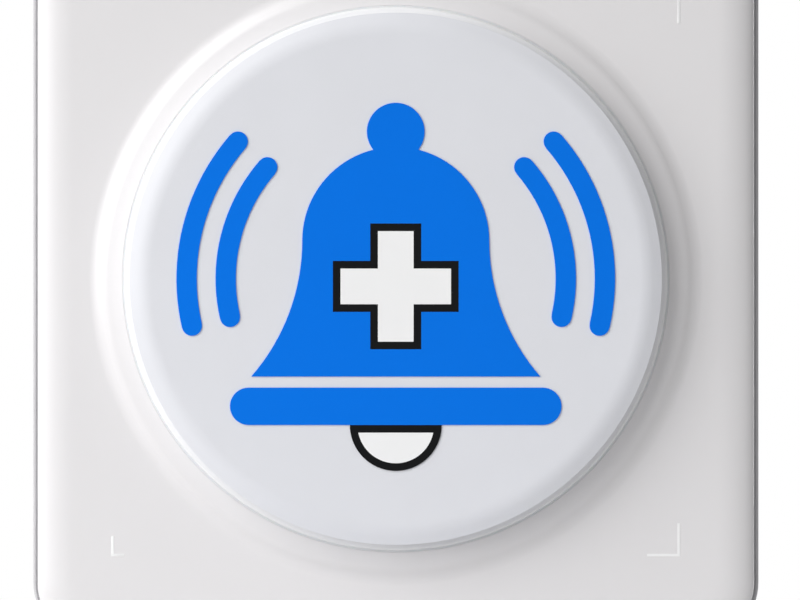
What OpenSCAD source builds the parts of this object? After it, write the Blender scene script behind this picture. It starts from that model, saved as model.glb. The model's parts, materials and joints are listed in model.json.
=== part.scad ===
// Wireless nurse call point: a square surface-mounted box with one large round push button.
// Everything is laid out as on a bench: x to the right, y up the wall and z out of the wall.
// on_wall() stands it up, with its back in the plane y = 0, the button facing -Y and +Z up.

/* [Wall plate] */
// Width and height of the wall plate
plate_w = 86; // [84:0.5:100]
// Corner radius of the wall plate
plate_corner_r = 7; // [6:0.1:9]
// Thickness of the wall plate
plate_t = 2.2; // [2:0.1:3]
// Width of the wall plate's rim, which shows round the cover
plate_reveal = 0.5; // [0.4:0.1:0.8]
// Height of that rim above the plate
plate_rim_h = 0.5; // [0.4:0.1:1]
// Distance between the centres of the two fixing slots
fixing_pitch = 60.3; // [56:0.1:62]
// Half the width of a fixing slot
fixing_slot_r = 2.25; // [1.75:0.05:2.75]
// Length of a fixing slot from end to end
fixing_slot_l = 8; // [6:0.5:10]
// Thickness of the rib that locates the cover
rib_t = 1.5; // [1:0.1:2]
// Height of that rib above the plate
rib_h = 3; // [2.6:0.1:3.6]
// Width of a cover hook
hook_w = 8; // [5:0.5:12]
// Height of a cover hook
hook_h = 1.2; // [0.8:0.1:1.6]
// How far a hook stands out past the rib
hook_reach = 0.9; // [0.6:0.1:1.1]
// Distance between the two hooks
hook_pitch = 36; // [24:1:50]
// Width of the tab that takes the lock screw
lock_tab_w = 10; // [8:0.5:14]
// Depth of that tab behind the rib's outer face
lock_tab_d = 4.2; // [3:0.1:5]
// Width of an adhesive pad
pad_w = 54; // [40:1:60]
// Height of an adhesive pad
pad_h = 15; // [10:1:18]
// Thickness of an adhesive pad
pad_t = 0.8; // [0.5:0.1:1]
// Distance between the centres of the two adhesive pads
pad_pitch = 42; // [36:1:48]
// Size of the arrow on the back that shows which way is up
up_arrow_w = 6; // [4:0.5:8]

/* [Cover] */
// Thickness of the cover's side walls
cover_wall = 2.2; // [2:0.1:3]
// Thickness of the cover's front wall
cover_front_t = 2.4; // [2:0.1:3.5]
// Width of the cover's soft front edge
cover_edge_w = 4.2; // [2:0.1:4.6]
// Depth of that edge
cover_edge_d = 1.3; // [0.6:0.1:2.4]
// Height of the collar above the front
collar_rise = 1.1; // [0.95:0.05:1.3]
// Thickness of the collar's tube where it passes through the front wall
collar_wall = 1.6; // [1.3:0.1:2.4]
// Rounding of the collar's edge at the button
collar_lip_r = 0.3; // [0.1:0.05:0.4]
// Width of the collar's sloping top
collar_slope_w = 1.4; // [1:0.1:1.8]
// Slope of that top, in degrees
collar_slope = 12; // [6:1:14]
// Steepest slope of the collar, in degrees
collar_steep = 32; // [28:1:38]
// Radius of the collar's shoulder, between those two slopes
collar_shoulder_r = 2.5; // [1.5:0.1:3]
// Radius of a screw boss in the cover
boss_r = 3.1; // [2.4:0.1:3.6]
// Distance of a screw boss from the inside of the side walls
boss_inset = 5.4; // [4.5:0.1:7]
// Thickness of the ribs that tie a boss to the walls
boss_rib_t = 1.2; // [0.8:0.1:1.6]
// Distance of the fine corner marks from the middle of the front
mark_out = 33.5; // [30:0.5:35]
// Length of a corner mark's legs
mark_l = 3.2; // [2:0.1:5]
// Width of a corner mark's legs
mark_w = 0.4; // [0.3:0.05:0.6]

/* [Button] */
// Radius of the button
button_r = 32; // [28:0.5:33]
// Height of the button's face above the collar
button_rise = 3.3; // [3:0.1:5]
// Travel of the button
travel = 1.5; // [1:0.1:2]
// Thickness of the carrier's skirt
skirt_t = 2; // [1.6:0.1:3]
// How far the carrier's flange stands out past the skirt
flange_w = 2.2; // [1.6:0.1:3]
// Thickness of the carrier's flange
flange_t = 1.6; // [1.2:0.1:2.4]
// Thickness of the carrier's top wall
carrier_t = 1.6; // [1.2:0.1:2.4]
// Rounding of the carrier's outer edge
carrier_edge_r = 0.3; // [0.1:0.05:0.6]
// Height of the raised seat that carries the face
seat_h = 1; // [0.6:0.1:1.6]
// Width of the carrier's edge that shows round the face
face_inset = 0.7; // [0.4:0.1:1.2]
// Thickness of the face
face_t = 1.7; // [1.2:0.1:2.4]
// Wall of the face that reaches down round the carrier's seat
face_skirt_t = 0.75; // [0.6:0.05:1.2]
// Width of the face's soft edge
face_edge_w = 2.2; // [1:0.1:4]
// Depth of that edge
face_edge_d = 0.65; // [0.3:0.05:1.5]
// Radius of a guide post
post_r = 1.95; // [1.5:0.05:2.5]
// Distance of a guide post from the inside of the skirt
guide_inset = 6; // [5.5:0.1:8]
// Radius of the boss that presses the switch
press_boss_r = 4; // [3:0.1:5]
// Thickness of the stiffening webs under the carrier
web_t = 1.2; // [0.8:0.1:2]
// Depth of those webs
web_h = 2; // [1:0.1:3]
// Thickness of the rubber actuator pad
actuator_t = 0.8; // [0.5:0.1:1.5]
// Thickness of the seal under the front wall
button_seal_t = 0.8; // [0.5:0.1:1.2]
// Thickness of the wiper ring that closes the gap round the button
wiper_t = 0.8; // [0.5:0.1:1]
// How deep the wiper ring sits in the collar
wiper_seat = 0.6; // [0.4:0.1:0.8]
// Depth of the wiper ring below the top of the collar
wiper_sink = 0.45; // [0.4:0.05:0.6]

/* [Symbol] */
// Thickness of the printed symbol
print_t = 0.12; // [0.05:0.01:0.3]
// Radius of the bell's dome
bell_r = 11; // [9:0.5:12]
// Height of the dome's centre above the middle of the face
bell_y = 4.5; // [3:0.5:6]
// Height of the bell from its mouth to the dome's centre
bell_drop = 16; // [14:0.5:17]
// How far the bell's mouth flares out past the dome on each side
bell_flare = 6; // [4:0.5:7]
// Radius of the knob on the bell
knob_r = 3.4; // [2.5:0.1:4]
// Height of the knob's centre above the top of the dome
knob_up = 1.8; // [1:0.1:2.2]
// Length of the bar under the bell
bar_l = 39; // [34:0.5:42]
// Thickness of the bar under the bell
bar_t = 4.4; // [3:0.2:6]
// Gap between the bell and the bar
bar_gap = 1.3; // [0.6:0.1:2]
// Radius of the clapper
clapper_r = 5.4; // [4:0.1:6]
// Distance of the plus sign's middle below the dome's centre
plus_drop = 5.4; // [4:0.2:7]
// Length of the plus sign on the bell
plus_l = 13; // [10:0.5:14]
// Width of the plus sign's arms
plus_w = 4.2; // [3:0.1:5]
// Width of the black outlines
outline_w = 0.9; // [0.5:0.1:1.2]
// Radius of the inner sound arcs, at their middle line
arc_r = 20; // [19:0.5:21]
// Distance from the inner to the outer sound arcs
arc_step = 4.6; // [4:0.2:6]
// Width of the sound arcs
arc_w = 2.4; // [1.6:0.1:3]
// Half the angle that a sound arc spans
arc_half = 27; // [15:1:32]
// Angle by which the sound arcs are turned up
arc_lift = 14; // [5:1:25]

/* [Chassis and springs] */
// Thickness of the chassis plate
chassis_t = 1.6; // [1.2:0.1:2.4]
// Wall of a guide sleeve
sleeve_t = 1.2; // [0.8:0.1:1.6]
// Height of a guide sleeve above the chassis plate
sleeve_h = 3; // [2:0.1:4]
// Height of the end stop above the chassis plate
stop_h = 1.35; // [0.8:0.05:2]
// Width of the end stop
stop_w = 1.8; // [1:0.1:2]
// Height of the pads that carry the circuit board
standoff_h = 0.6; // [0.4:0.1:1.5]
// Radius of those pads
standoff_r = 2.6; // [2:0.1:3]
// Radius of the spring wire
spring_wire_r = 0.35; // [0.25:0.05:0.4]
// Turns of a return spring
spring_turns = 5; // [4:1:6]

/* [Switch] */
// Width of the switch
switch_w = 12; // [10:0.5:14]
// Thickness of the switch's floor
switch_floor_t = 1; // [0.8:0.1:1.5]
// Length of the plunger that stays guided in the switch at rest and beyond its stroke
plunger_guided = 1.25; // [0.8:0.05:2]
// How much higher the plunger stands above the switch than its stroke
plunger_spare = 0.9; // [0.6:0.1:1.5]
// Radius of the plunger
plunger_r = 3.4; // [2.5:0.1:4]
// Thickness of the switch's metal frame
switch_frame_t = 0.3; // [0.2:0.05:0.5]
// Thickness of the contact dome
dome_t = 0.15; // [0.1:0.05:0.3]
// Radius of the contact dome
dome_r = 3; // [2:0.1:3.2]
// Width of a switch terminal
terminal_w = 1; // [0.6:0.1:1.4]
// Thickness of a switch terminal
terminal_t = 0.3; // [0.2:0.05:0.4]
// Distance between the two terminals on one side
terminal_pitch = 5; // [4:0.5:7]
// How far a terminal reaches out behind the circuit board
terminal_out = 0.8; // [0.5:0.1:1.2]

/* [Circuit board and battery] */
// Thickness of the circuit board
pcb_t = 1.6; // [1:0.1:2]
// Distance of the board's screws from its edges
pcb_screw_inset = 4.5; // [3.5:0.1:6]
// Radius of the coin cell
cell_r = 10; // [8:0.1:11.5]
// Thickness of the coin cell
cell_t = 3.2; // [2.5:0.1:5]
// Thickness of the raised side of the coin cell
cell_cap_t = 0.3; // [0.2:0.05:0.5]
// Wall of the battery holder
holder_t = 1.3; // [1:0.1:2]
// Thickness of the battery holder's base
holder_base_t = 0.4; // [0.3:0.05:0.8]
// Thickness of the battery clip
clip_t = 0.3; // [0.2:0.05:0.5]
// Width of the battery clip
clip_w = 5; // [3:0.5:8]
// Radius of the battery contact
contact_r = 4; // [3:0.1:6]
// Width of the radio board
radio_board_w = 16; // [12:0.5:18]
// Height of the radio board
radio_board_h = 22; // [18:0.5:24]
// Thickness of the radio board
radio_board_t = 0.8; // [0.6:0.1:1]
// Width of the radio's shield
radio_can_w = 13; // [8:0.5:15]
// Height of the radio's shield
radio_can_h = 15; // [8:0.5:20]
// Thickness of the radio's shield
radio_can_t = 1.7; // [1:0.1:1.8]
// Width of the microcontroller
controller_w = 7; // [4:0.5:8]
// Thickness of the microcontroller
controller_t = 1; // [0.6:0.1:1.6]
// Length of the crystal
crystal_l = 8; // [5:0.5:11]
// Width of the crystal
crystal_w = 3.6; // [2.5:0.1:4.6]
// Thickness of the crystal
crystal_t = 2.2; // [1:0.1:2.4]
// Length of a capacitor
capacitor_l = 2; // [1:0.1:3]
// Width of a capacitor
capacitor_w = 1.25; // [0.5:0.05:2]
// Thickness of a capacitor
capacitor_t = 1.2; // [0.5:0.05:2]
// Length of a resistor
resistor_l = 2; // [1:0.1:3]
// Width of a resistor
resistor_w = 1.25; // [0.5:0.05:2]
// Thickness of a resistor
resistor_t = 0.6; // [0.3:0.05:1]
// Radius of the antenna's turns
antenna_r = 1; // [0.8:0.1:1.1]
// Radius of the antenna's wire
antenna_wire_r = 0.25; // [0.2:0.05:0.3]
// Length of the antenna
antenna_l = 16; // [12:0.5:20]
// Turns of the antenna
antenna_turns = 8; // [5:1:9]

/* [Screws] */
// Radius of the lock screw's shank
lock_screw_r = 1.4; // [1:0.05:1.5]
// Radius of the lock screw's head
lock_head_r = 2.4; // [2:0.05:2.7]
// Height of the lock screw's head
lock_head_h = 1; // [0.6:0.05:1.1]
// Radius of the chassis screws' shank
chassis_screw_r = 1.25; // [1:0.05:1.5]
// Length of the chassis screws past the chassis
chassis_screw_l = 4; // [2.5:0.1:4.6]
// Radius of the chassis screws' head
chassis_head_r = 2.6; // [2:0.05:2.8]
// Height of the chassis screws' head
chassis_head_h = 1.6; // [1:0.05:2]
// Radius of the board screws' shank
pcb_screw_r = 0.95; // [0.7:0.05:1.2]
// Radius of the board screws' head
pcb_head_r = 1.9; // [1.6:0.05:2.2]
// Height of the board screws' head
pcb_head_h = 1.3; // [0.8:0.05:1.6]

/* [Clearances] */
// Gap between the cover's rim and the wall plate, bridged by the seal
rim_gap = 0.2; // [0.1:0.05:0.4]
// Shadow gap between the wall plate's rim and the cover
shadow_gap = 0.3; // [0.2:0.1:0.8]
// Gap between the rib and the inside of the cover
rib_clear = 0.25; // [0.1:0.05:0.4]
// Room round a hook in its pocket
hook_clear = 0.1; // [0.05:0.05:0.3]
// Gap between the button and the collar
button_gap = 0.2; // [0.15:0.05:0.5]
// Gap between the button's flange and its seal at rest
seal_gap = 0.05; // [0.02:0.01:0.1]
// Gap left at the end stop when the button is fully pressed
stop_gap = 0.1; // [0.05:0.05:0.3]
// Running clearance of the posts and the plunger
running_clear = 0.05; // [0.03:0.01:0.08]
// Clearance round a screw that threads into a piece
thread_clear = 0.05; // [0.02:0.01:0.1]
// Clearance round a screw that passes through a piece
through_clear = 0.25; // [0.1:0.05:0.4]
// Clearance between the wiper ring and the button
wiper_clear = 0.08; // [0.05:0.01:0.12]
// Loose fit of a piece laid into a recess
lay_clear = 0.15; // [0.05:0.05:0.3]
// Gap between the battery clip and the wall plate
clip_gap = 0.3; // [0.2:0.05:1]
// Gap between the chassis and the inside of the cover
chassis_clear = 2; // [1.8:0.1:3]
// Gap between the board's edge and the chassis screws
pcb_clear = 1.4; // [0.8:0.1:2]
// Gap between the switch and its window in the chassis
window_clear = 0.8; // [0.6:0.1:1.5]
// Gap between a return spring and its sleeve
spring_clear = 0.45; // [0.3:0.05:0.6]

/* [Hidden] */
$fn = 96;
// How deep a boss, rib or collar is rooted in the wall that carries it
root = 0.5;
// How far a cutter reaches past the face that it cuts
past = 1;

// Plan sizes of the housing
cover_inset = plate_reveal + shadow_gap;
cover_w = plate_w - 2 * cover_inset;
cover_r = plate_corner_r - cover_inset;
cover_edge_land = 0.4;
cover_edge = min(cover_edge_w, cover_r - cover_edge_land);
cavity_w = cover_w - 2 * cover_wall;
cavity_r = cover_r - cover_wall;
rib_w = cavity_w - 2 * rib_clear;
rib_r = cavity_r - rib_clear;
seal_w = 1.2;
seal_depth = 0.7;
boss_at = cavity_w / 2 - boss_inset;
chassis_w = cavity_w - 2 * chassis_clear;
chassis_r = 3;
pcb_w = 2 * (boss_at - chassis_head_r - pcb_clear);
pcb_r = 2;
pcb_screw_at = pcb_w / 2 - pcb_screw_inset;

// Levels from the wall outwards
cover_z = plate_t + rim_gap;
clip_z = plate_t + clip_gap;
cell_z = clip_z + clip_t;
cell_top = cell_z + cell_t;
pcb_z = cell_top + holder_base_t;
pcb_top = pcb_z + pcb_t;
chassis_z = pcb_top + standoff_h;
chassis_top = chassis_z + chassis_t;
stop_top = chassis_top + stop_h;
flange_z = stop_top + stop_gap + travel;
flange_top = flange_z + flange_t;
seal_z = flange_top + seal_gap;
cover_inner = seal_z + button_seal_t;
cover_front = cover_inner + cover_front_t;
collar_top = cover_front + collar_rise;
face_z = collar_top + button_rise;
seat_z = face_z - face_t;
carrier_z = seat_z - seat_h;
carrier_under = carrier_z - carrier_t;

// Collar and button in the round
bore_r = button_r + button_gap;
collar_tube_r = bore_r + collar_wall;
collar_foot_t = 0.03;
slope_r = bore_r + collar_lip_r + collar_slope_w;
slope_z = collar_top - collar_slope_w * tan(collar_slope);
shoulder_at = [slope_r, slope_z] - collar_shoulder_r * [sin(collar_slope), cos(collar_slope)];
steep_at = shoulder_at + collar_shoulder_r * [sin(collar_steep), cos(collar_steep)];
foot_curve_r = (steep_at.y - cover_front - collar_foot_t) / (1 - cos(collar_steep));
foot_at = steep_at + foot_curve_r * [sin(collar_steep), cos(collar_steep)];
wiper_z = collar_top - wiper_sink - wiper_t;
wiper_inner_r = button_r + wiper_clear;
wiper_outer_r = bore_r + wiper_seat;
flange_r = button_r + flange_w;
face_r = button_r - face_inset;
face_bore_r = face_r - face_skirt_t;
guide_at = (button_r - skirt_t - guide_inset) / sqrt(2);
tip_gap = 0.4;
post_tip = chassis_z + travel + tip_gap;
sleeve_r = post_r + running_clear + sleeve_t;
spring_r = sleeve_r + spring_clear + spring_wire_r;
seal_inner_r = bore_r + button_gap;
seal_outer_r = flange_r + button_gap;

// Switch
plunger_stop_gap = 0.1;
plunger_z = pcb_top + switch_floor_t + dome_t + plunger_stop_gap + travel;
switch_top = plunger_z + plunger_guided;
plunger_top = switch_top + travel + plunger_spare;
actuator_z = plunger_top + running_clear;
actuator_top = actuator_z + actuator_t;
actuator_r = press_boss_r;
frame_bore_r = plunger_r + through_clear;
terminal_rise = 1.5;
rivet_r = 0.6;
rivet_inset = 1.4;

// Board layout, seen from the front and measured from the middle of the board
part_gap = 2.5;
holder_bore_r = cell_r + lay_clear;
holder_r = holder_bore_r + holder_t;
holder_rim = 0.4;
cell_left = 7;
cell_gap = 0.55;
cell_at = [-cell_left, -(terminal_pitch + terminal_w) / 2 - cell_gap - holder_r];
cell_cap_inset = 1.2;
cell_cap_r = cell_r - cell_cap_inset;
antenna_drop = antenna_r + antenna_wire_r + lay_clear;
antenna_edge = 7;
antenna_at = [pcb_screw_at - pcb_head_r - part_gap - antenna_l / 2, pcb_w / 2 - antenna_edge];
radio_x = switch_w / 2 + terminal_t + part_gap + radio_board_w / 2;
radio_at = [radio_x, antenna_at.y - antenna_r - antenna_wire_r - part_gap - radio_board_h / 2];
controller_at = radio_at - [0, radio_board_h / 2 + part_gap + controller_w / 2];
crystal_at = controller_at - [0, controller_w / 2 + part_gap + crystal_w / 2];
capacitor_step = 4;
capacitor_side = controller_w / 2 + part_gap + capacitor_l / 2;
capacitor_at = [for (s = [-1, 1], k = [-1:1]) controller_at + [s * capacitor_side, k * capacitor_step]];
resistor_step = 4;
resistor_left = 9;
resistor_down = crystal_w / 2 + part_gap + resistor_w / 2;
resistor_at = [for (k = [0:3]) crystal_at + [k * resistor_step - resistor_left, -resistor_down]];

// Screws
lock_up = 3.4;
lock_z = cover_z + lock_up;
lock_tab_over = 2.6;
lock_sink = 0.1;
lock_seat_y = cover_w / 2 - lock_sink - lock_head_h;
lock_tip_gap = 0.4;
lock_screw_l = lock_seat_y - rib_w / 2 + lock_tab_d - lock_tip_gap;
pcb_tip_gap = 0.3;
pcb_screw_l = chassis_top - pcb_z - pcb_tip_gap;
drive_w = 0.55;
drive_d = 0.5;
drive_reach = 1.3;

// Back and front marks
arrow_d = 0.3;
arrow_up = 1.8;
mark_h = 0.12;

// Steps of a curve that is drawn from points, and of a tube wound from wire
curve_steps = 8;
rings_per_turn = 8;
wire_sides = 6;

corners = [[1, 1], [-1, 1], [-1, -1], [1, -1]];

// Shared shapes

module on_wall() {
    rotate([90, 0, 0]) children();
}

module at_corners(d) {
    for (c = corners) translate([c.x * d, c.y * d, 0]) children();
}

module quarter_disc(r) {
    intersection() {
        circle(r);
        square(r);
    }
}

module half_disc(r) {
    quarter_disc(r);
    mirror([0, 1]) quarter_disc(r);
}

module rounded_square(w, r) {
    core = w - 2 * r;
    square([w, core], center = true);
    square([core, w], center = true);
    for (k = [0:3]) rotate(90 * k) translate([core / 2, core / 2]) quarter_disc(r);
}

module rounded_plate(w, r, t) {
    linear_extrude(t) rounded_square(w, r);
}

// A band of even width whose outer edge is a rounded square
module square_band(w, r, band, h) {
    least_r = 0.3;
    linear_extrude(h) difference() {
        rounded_square(w, r);
        rounded_square(w - 2 * band, max(r - band, least_r));
    }
}

// A rectangle that stands on the x axis, with its upper right corner rounded
module edge_profile(w, h, r) {
    square([w, h - r]);
    translate([0, h - r]) square([w - r, r]);
    translate([w - r, h - r]) quarter_disc(r);
}

// The same with a quarter of an ellipse at that corner
module soft_edge_profile(w, h, edge_w, edge_d) {
    edge = [for (k = [0:curve_steps]) let(a = 90 * k / curve_steps)
        [w - edge_w * (1 - cos(a)), h - edge_d * (1 - sin(a))]];
    polygon(concat([[0, 0], [w, 0]], edge, [[0, h]]));
}

// A square block with rounded upright corners and a soft front edge all round
module soft_block(w, r, h, edge_w, edge_d) {
    core = w - 2 * r;
    translate([-core / 2, -core / 2, 0]) cube([core, core, h]);
    for (k = [0:3]) rotate([0, 0, 90 * k]) translate([core / 2, core / 2, 0]) {
        rotate_extrude(angle = 90) soft_edge_profile(r, h, edge_w, edge_d);
        rotate([90, 0, 0]) linear_extrude(core) soft_edge_profile(r, h, edge_w, edge_d);
    }
}

// A bar with round ends, along x
module slot_outline(l, r) {
    core = l - 2 * r;
    square([core, 2 * r], center = true);
    for (a = [0, 180]) rotate(a) translate([core / 2, 0]) half_disc(r);
}

module ring(outer_r, inner_r, h) {
    difference() {
        cylinder(r = outer_r, h = h);
        translate([0, 0, -past]) cylinder(r = inner_r, h = h + 2 * past);
    }
}

module block(size) {
    translate([-size.x / 2, -size.y / 2, 0]) cube(size);
}

// A block that stands on the back of the circuit board and reaches towards the wall
module on_board_back(at, size, below = 0) {
    translate([at.x, at.y, pcb_z - below - size.z]) block(size);
}

// A screw with its head's seat at z = 0 and its shank along +z
module pan_screw(shank_r, shank_l, head_r, head_h) {
    drive_l = drive_reach * head_r;
    difference() {
        union() {
            translate([0, 0, -head_h]) cylinder(r = head_r, h = head_h);
            translate([0, 0, -head_h / 2]) cylinder(r = shank_r, h = shank_l + head_h / 2);
        }
        for (a = [0, 90]) rotate([0, 0, a]) translate([0, 0, -head_h - past])
            block([drive_l, drive_w, drive_d + past]);
    }
}

// Wire wound along a path, as one closed tube of triangles

function path_dir(path, i) =
    let(step = path[min(i + 1, len(path) - 1)] - path[max(i - 1, 0)])
    step / norm(step);

function wire_ring(p, dir, out, r) =
    let(flat = out - (out * dir) * dir, n = flat / norm(flat), b = cross(dir, n))
    [for (k = [0:wire_sides - 1]) let(a = 360 * k / wire_sides) p + r * (cos(a) * n + sin(a) * b)];

function wire_points(path, outs, r) =
    [for (i = [0:len(path) - 1]) each wire_ring(path[i], path_dir(path, i), outs[i], r)];

function wire_faces(count) =
    let(s = wire_sides, last = (count - 1) * s)
    concat(
        [for (i = [0:count - 2], k = [0:s - 1]) [i * s + k, (i + 1) * s + k, (i + 1) * s + (k + 1) % s]],
        [for (i = [0:count - 2], k = [0:s - 1]) [i * s + k, (i + 1) * s + (k + 1) % s, i * s + (k + 1) % s]],
        [for (k = [1:s - 2]) [0, k, k + 1]],
        [for (k = [1:s - 2]) [last, last + k + 1, last + k]]
    );

function least_gap(path, r) =
    let(n = len(path), apart = rings_per_turn / 2)
    min([for (i = [0:n - 1 - apart], j = [i + apart:n - 1]) norm(path[i] - path[j])]) - 2 * r;

module wire(path, outs, r) {
    polyhedron(points = wire_points(path, outs, r), faces = wire_faces(len(path)));
}

// A return spring stands on a straight foot one wire thick and ends in another
spring_foot = 2 * spring_wire_r;
spring_rings = spring_turns * rings_per_turn;
spring_rise = carrier_under - chassis_top - 2 * spring_foot;
spring_outs = concat(
    [[1, 0, 0]],
    [for (i = [0:spring_rings]) let(a = 360 * i / rings_per_turn) [cos(a), sin(a), 0]],
    [[1, 0, 0]]
);
spring_levels = concat(
    [chassis_top],
    [for (i = [0:spring_rings]) chassis_top + spring_foot + spring_rise * i / spring_rings],
    [carrier_under]
);
spring_path = [for (i = [0:len(spring_outs) - 1]) spring_r * spring_outs[i] + [0, 0, spring_levels[i]]];

// The antenna comes straight off the board, winds along x and goes straight back
antenna_rings = (antenna_turns + 0.5) * rings_per_turn;
antenna_z = pcb_z - antenna_drop;
antenna_outs = concat(
    [[0, 1, 0]],
    [for (i = [0:antenna_rings]) let(a = -360 * i / rings_per_turn) [0, cos(a), sin(a)]],
    [[0, -1, 0]]
);
antenna_axis = concat(
    [[-antenna_l / 2, 0, antenna_drop]],
    [for (i = [0:antenna_rings]) [antenna_l * (i / antenna_rings - 0.5), 0, 0]],
    [[antenna_l / 2, 0, antenna_drop]]
);
antenna_path = [for (i = [0:len(antenna_outs) - 1])
    [antenna_at.x, antenna_at.y, antenna_z] + antenna_axis[i] + antenna_r * antenna_outs[i]];

echo(spring_least_gap = least_gap(spring_path, spring_wire_r));
echo(antenna_least_gap = least_gap(antenna_path, antenna_wire_r));

// Wall plate, its seal and its pads

hook_z = plate_t + rib_h - hook_h;
hook_tip = rib_w / 2 + hook_reach;

module fixing_slots() {
    for (s = [-1, 1]) translate([s * fixing_pitch / 2, 0, -past])
        linear_extrude(plate_t + 2 * past) slot_outline(fixing_slot_l, fixing_slot_r);
}

module pad_shape(grow, t) {
    for (s = [-1, 1]) translate([0, s * pad_pitch / 2, 0])
        linear_extrude(t) square([pad_w + 2 * grow, pad_h + 2 * grow], center = true);
}

module seal_band(grow, h) {
    outer = (cover_wall - seal_w) / 2 - grow;
    square_band(cover_w - 2 * outer, cover_r - outer, seal_w + 2 * grow, h);
}

module hooks() {
    for (s = [-1, 1]) translate([s * hook_pitch / 2 - hook_w / 2, rib_w / 2 - rib_t, hook_z])
        cube([hook_w, rib_t + hook_reach, hook_h]);
}

module hook_pockets() {
    for (s = [-1, 1])
        translate([s * hook_pitch / 2 - hook_w / 2 - hook_clear, rib_w / 2 - past, hook_z - hook_clear])
            cube([hook_w + 2 * hook_clear, hook_reach + past + hook_clear, hook_h + 2 * hook_clear]);
}

module lock_tab() {
    translate([-lock_tab_w / 2, -rib_w / 2, plate_t - root])
        cube([lock_tab_w, lock_tab_d, lock_z + lock_tab_over - plate_t + root]);
}

module along_lock_screw() {
    translate([0, -lock_seat_y, lock_z]) rotate([-90, 0, 0]) children();
}

module wall_plate() color("#B6B6B8") on_wall() difference() {
    union() {
        difference() {
            rounded_plate(plate_w, plate_corner_r, plate_t + plate_rim_h);
            translate([0, 0, plate_t]) rounded_plate(
                plate_w - 2 * plate_reveal, plate_corner_r - plate_reveal, plate_rim_h + past);
        }
        translate([0, 0, plate_t - root]) square_band(rib_w, rib_r, rib_t, rib_h + root);
        hooks();
        lock_tab();
    }
    translate([0, 0, plate_t - seal_depth]) seal_band(lay_clear, seal_depth + past);
    translate([0, 0, -past]) pad_shape(lay_clear, pad_t + past);
    fixing_slots();
    along_lock_screw() cylinder(r = lock_screw_r + thread_clear, h = lock_screw_l + lock_tip_gap + past);
    translate([0, pad_pitch / 2 + pad_h / 2 + arrow_up, -past]) linear_extrude(arrow_d + past)
        polygon([[-up_arrow_w / 2, 0], [up_arrow_w / 2, 0], [0, up_arrow_w / 2]]);
}

module perimeter_seal() color("#4A4D51") on_wall() {
    translate([0, 0, plate_t - seal_depth]) seal_band(0, seal_depth + rim_gap);
}

module adhesive_pads() color("#E9E6DC") on_wall() pad_shape(0, pad_t);

// Front cover and its lock screw

// Section of the collar: a tube through the front wall, a sloping top, a shoulder and a hollow foot
module collar_profile() {
    steps = [for (k = [0:curve_steps]) k / curve_steps];
    lip = [for (t = steps) [bore_r, collar_top] + collar_lip_r * [1 - cos(90 * t), sin(90 * t) - 1]];
    shoulder = [for (t = steps) let(a = collar_slope + t * (collar_steep - collar_slope))
        shoulder_at + collar_shoulder_r * [sin(a), cos(a)]];
    foot = [for (t = steps) let(a = collar_steep * (1 - t)) foot_at - foot_curve_r * [sin(a), cos(a)]];
    polygon(concat(
        [[collar_tube_r, cover_inner], [bore_r, cover_inner]],
        lip,
        shoulder,
        [for (k = [1:curve_steps]) foot[k]],
        [[foot_at.x, cover_front - root], [collar_tube_r, cover_front - root]]
    ));
}

module wiper_groove() {
    translate([0, 0, wiper_z - lay_clear / 2])
        ring(wiper_outer_r + lay_clear / 2, bore_r - past, wiper_t + lay_clear);
}

module boss_ribs() {
    for (a = [0, 90]) rotate([0, 0, a]) translate([0, -boss_rib_t / 2, chassis_top + running_clear])
        cube([boss_inset + root, boss_rib_t, cover_inner + root - chassis_top - running_clear]);
}

module cover_bosses() {
    for (k = [0:3]) rotate([0, 0, 90 * k]) translate([boss_at, boss_at, 0]) {
        translate([0, 0, chassis_top]) cylinder(r = boss_r, h = cover_inner + root - chassis_top);
        boss_ribs();
    }
}

module corner_marks() {
    inner = mark_out - mark_l;
    for (k = [0:3]) rotate([0, 0, 90 * k]) translate([inner, inner, cover_front - root])
        linear_extrude(mark_h + root) difference() {
            square(mark_l);
            translate([-past, -past]) square(mark_l - mark_w + past);
        }
}

module cover_shell() difference() {
    translate([0, 0, cover_z])
        soft_block(cover_w, cover_r, cover_front - cover_z, cover_edge, cover_edge_d);
    translate([0, 0, cover_z - past]) rounded_plate(cavity_w, cavity_r, cover_inner - cover_z + past);
    cylinder(r = collar_tube_r - root, h = cover_front + past);
}

module front_cover() color("#ECEBEC") on_wall() difference() {
    union() {
        cover_shell();
        rotate_extrude() collar_profile();
        cover_bosses();
        corner_marks();
    }
    at_corners(boss_at) translate([0, 0, chassis_top - past])
        cylinder(r = chassis_screw_r + thread_clear, h = chassis_screw_l + root + past);
    wiper_groove();
    hook_pockets();
    along_lock_screw() {
        translate([0, 0, -past]) cylinder(r = lock_screw_r + through_clear, h = cover_wall + 2 * past);
        translate([0, 0, -lock_head_h - past])
            cylinder(r = lock_head_r + through_clear, h = lock_head_h + past);
    }
}

module cover_lock_screw() color("#B9BDC2") on_wall() {
    along_lock_screw() pan_screw(lock_screw_r, lock_screw_l, lock_head_r, lock_head_h);
}

// Button

module carrier_profile() {
    translate([0, carrier_under]) edge_profile(button_r, carrier_t, carrier_edge_r);
    translate([0, carrier_z]) square([face_bore_r - lay_clear, seat_h]);
    translate([button_r - skirt_t, flange_z]) square([skirt_t, carrier_under - flange_z]);
    translate([button_r, flange_z]) square([flange_w, flange_t]);
}

module carrier_webs() {
    for (k = [0:3]) rotate([0, 0, 90 * k]) translate([0, -web_t / 2, carrier_under - web_h])
        cube([button_r - skirt_t + root, web_t, web_h + root]);
}

module button_carrier() color("#F1F1F2") on_wall() {
    rotate_extrude() carrier_profile();
    carrier_webs();
    at_corners(guide_at) translate([0, 0, post_tip])
        cylinder(r = post_r, h = carrier_under + root - post_tip);
    translate([0, 0, actuator_top]) cylinder(r = press_boss_r, h = carrier_under + root - actuator_top);
}

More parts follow.
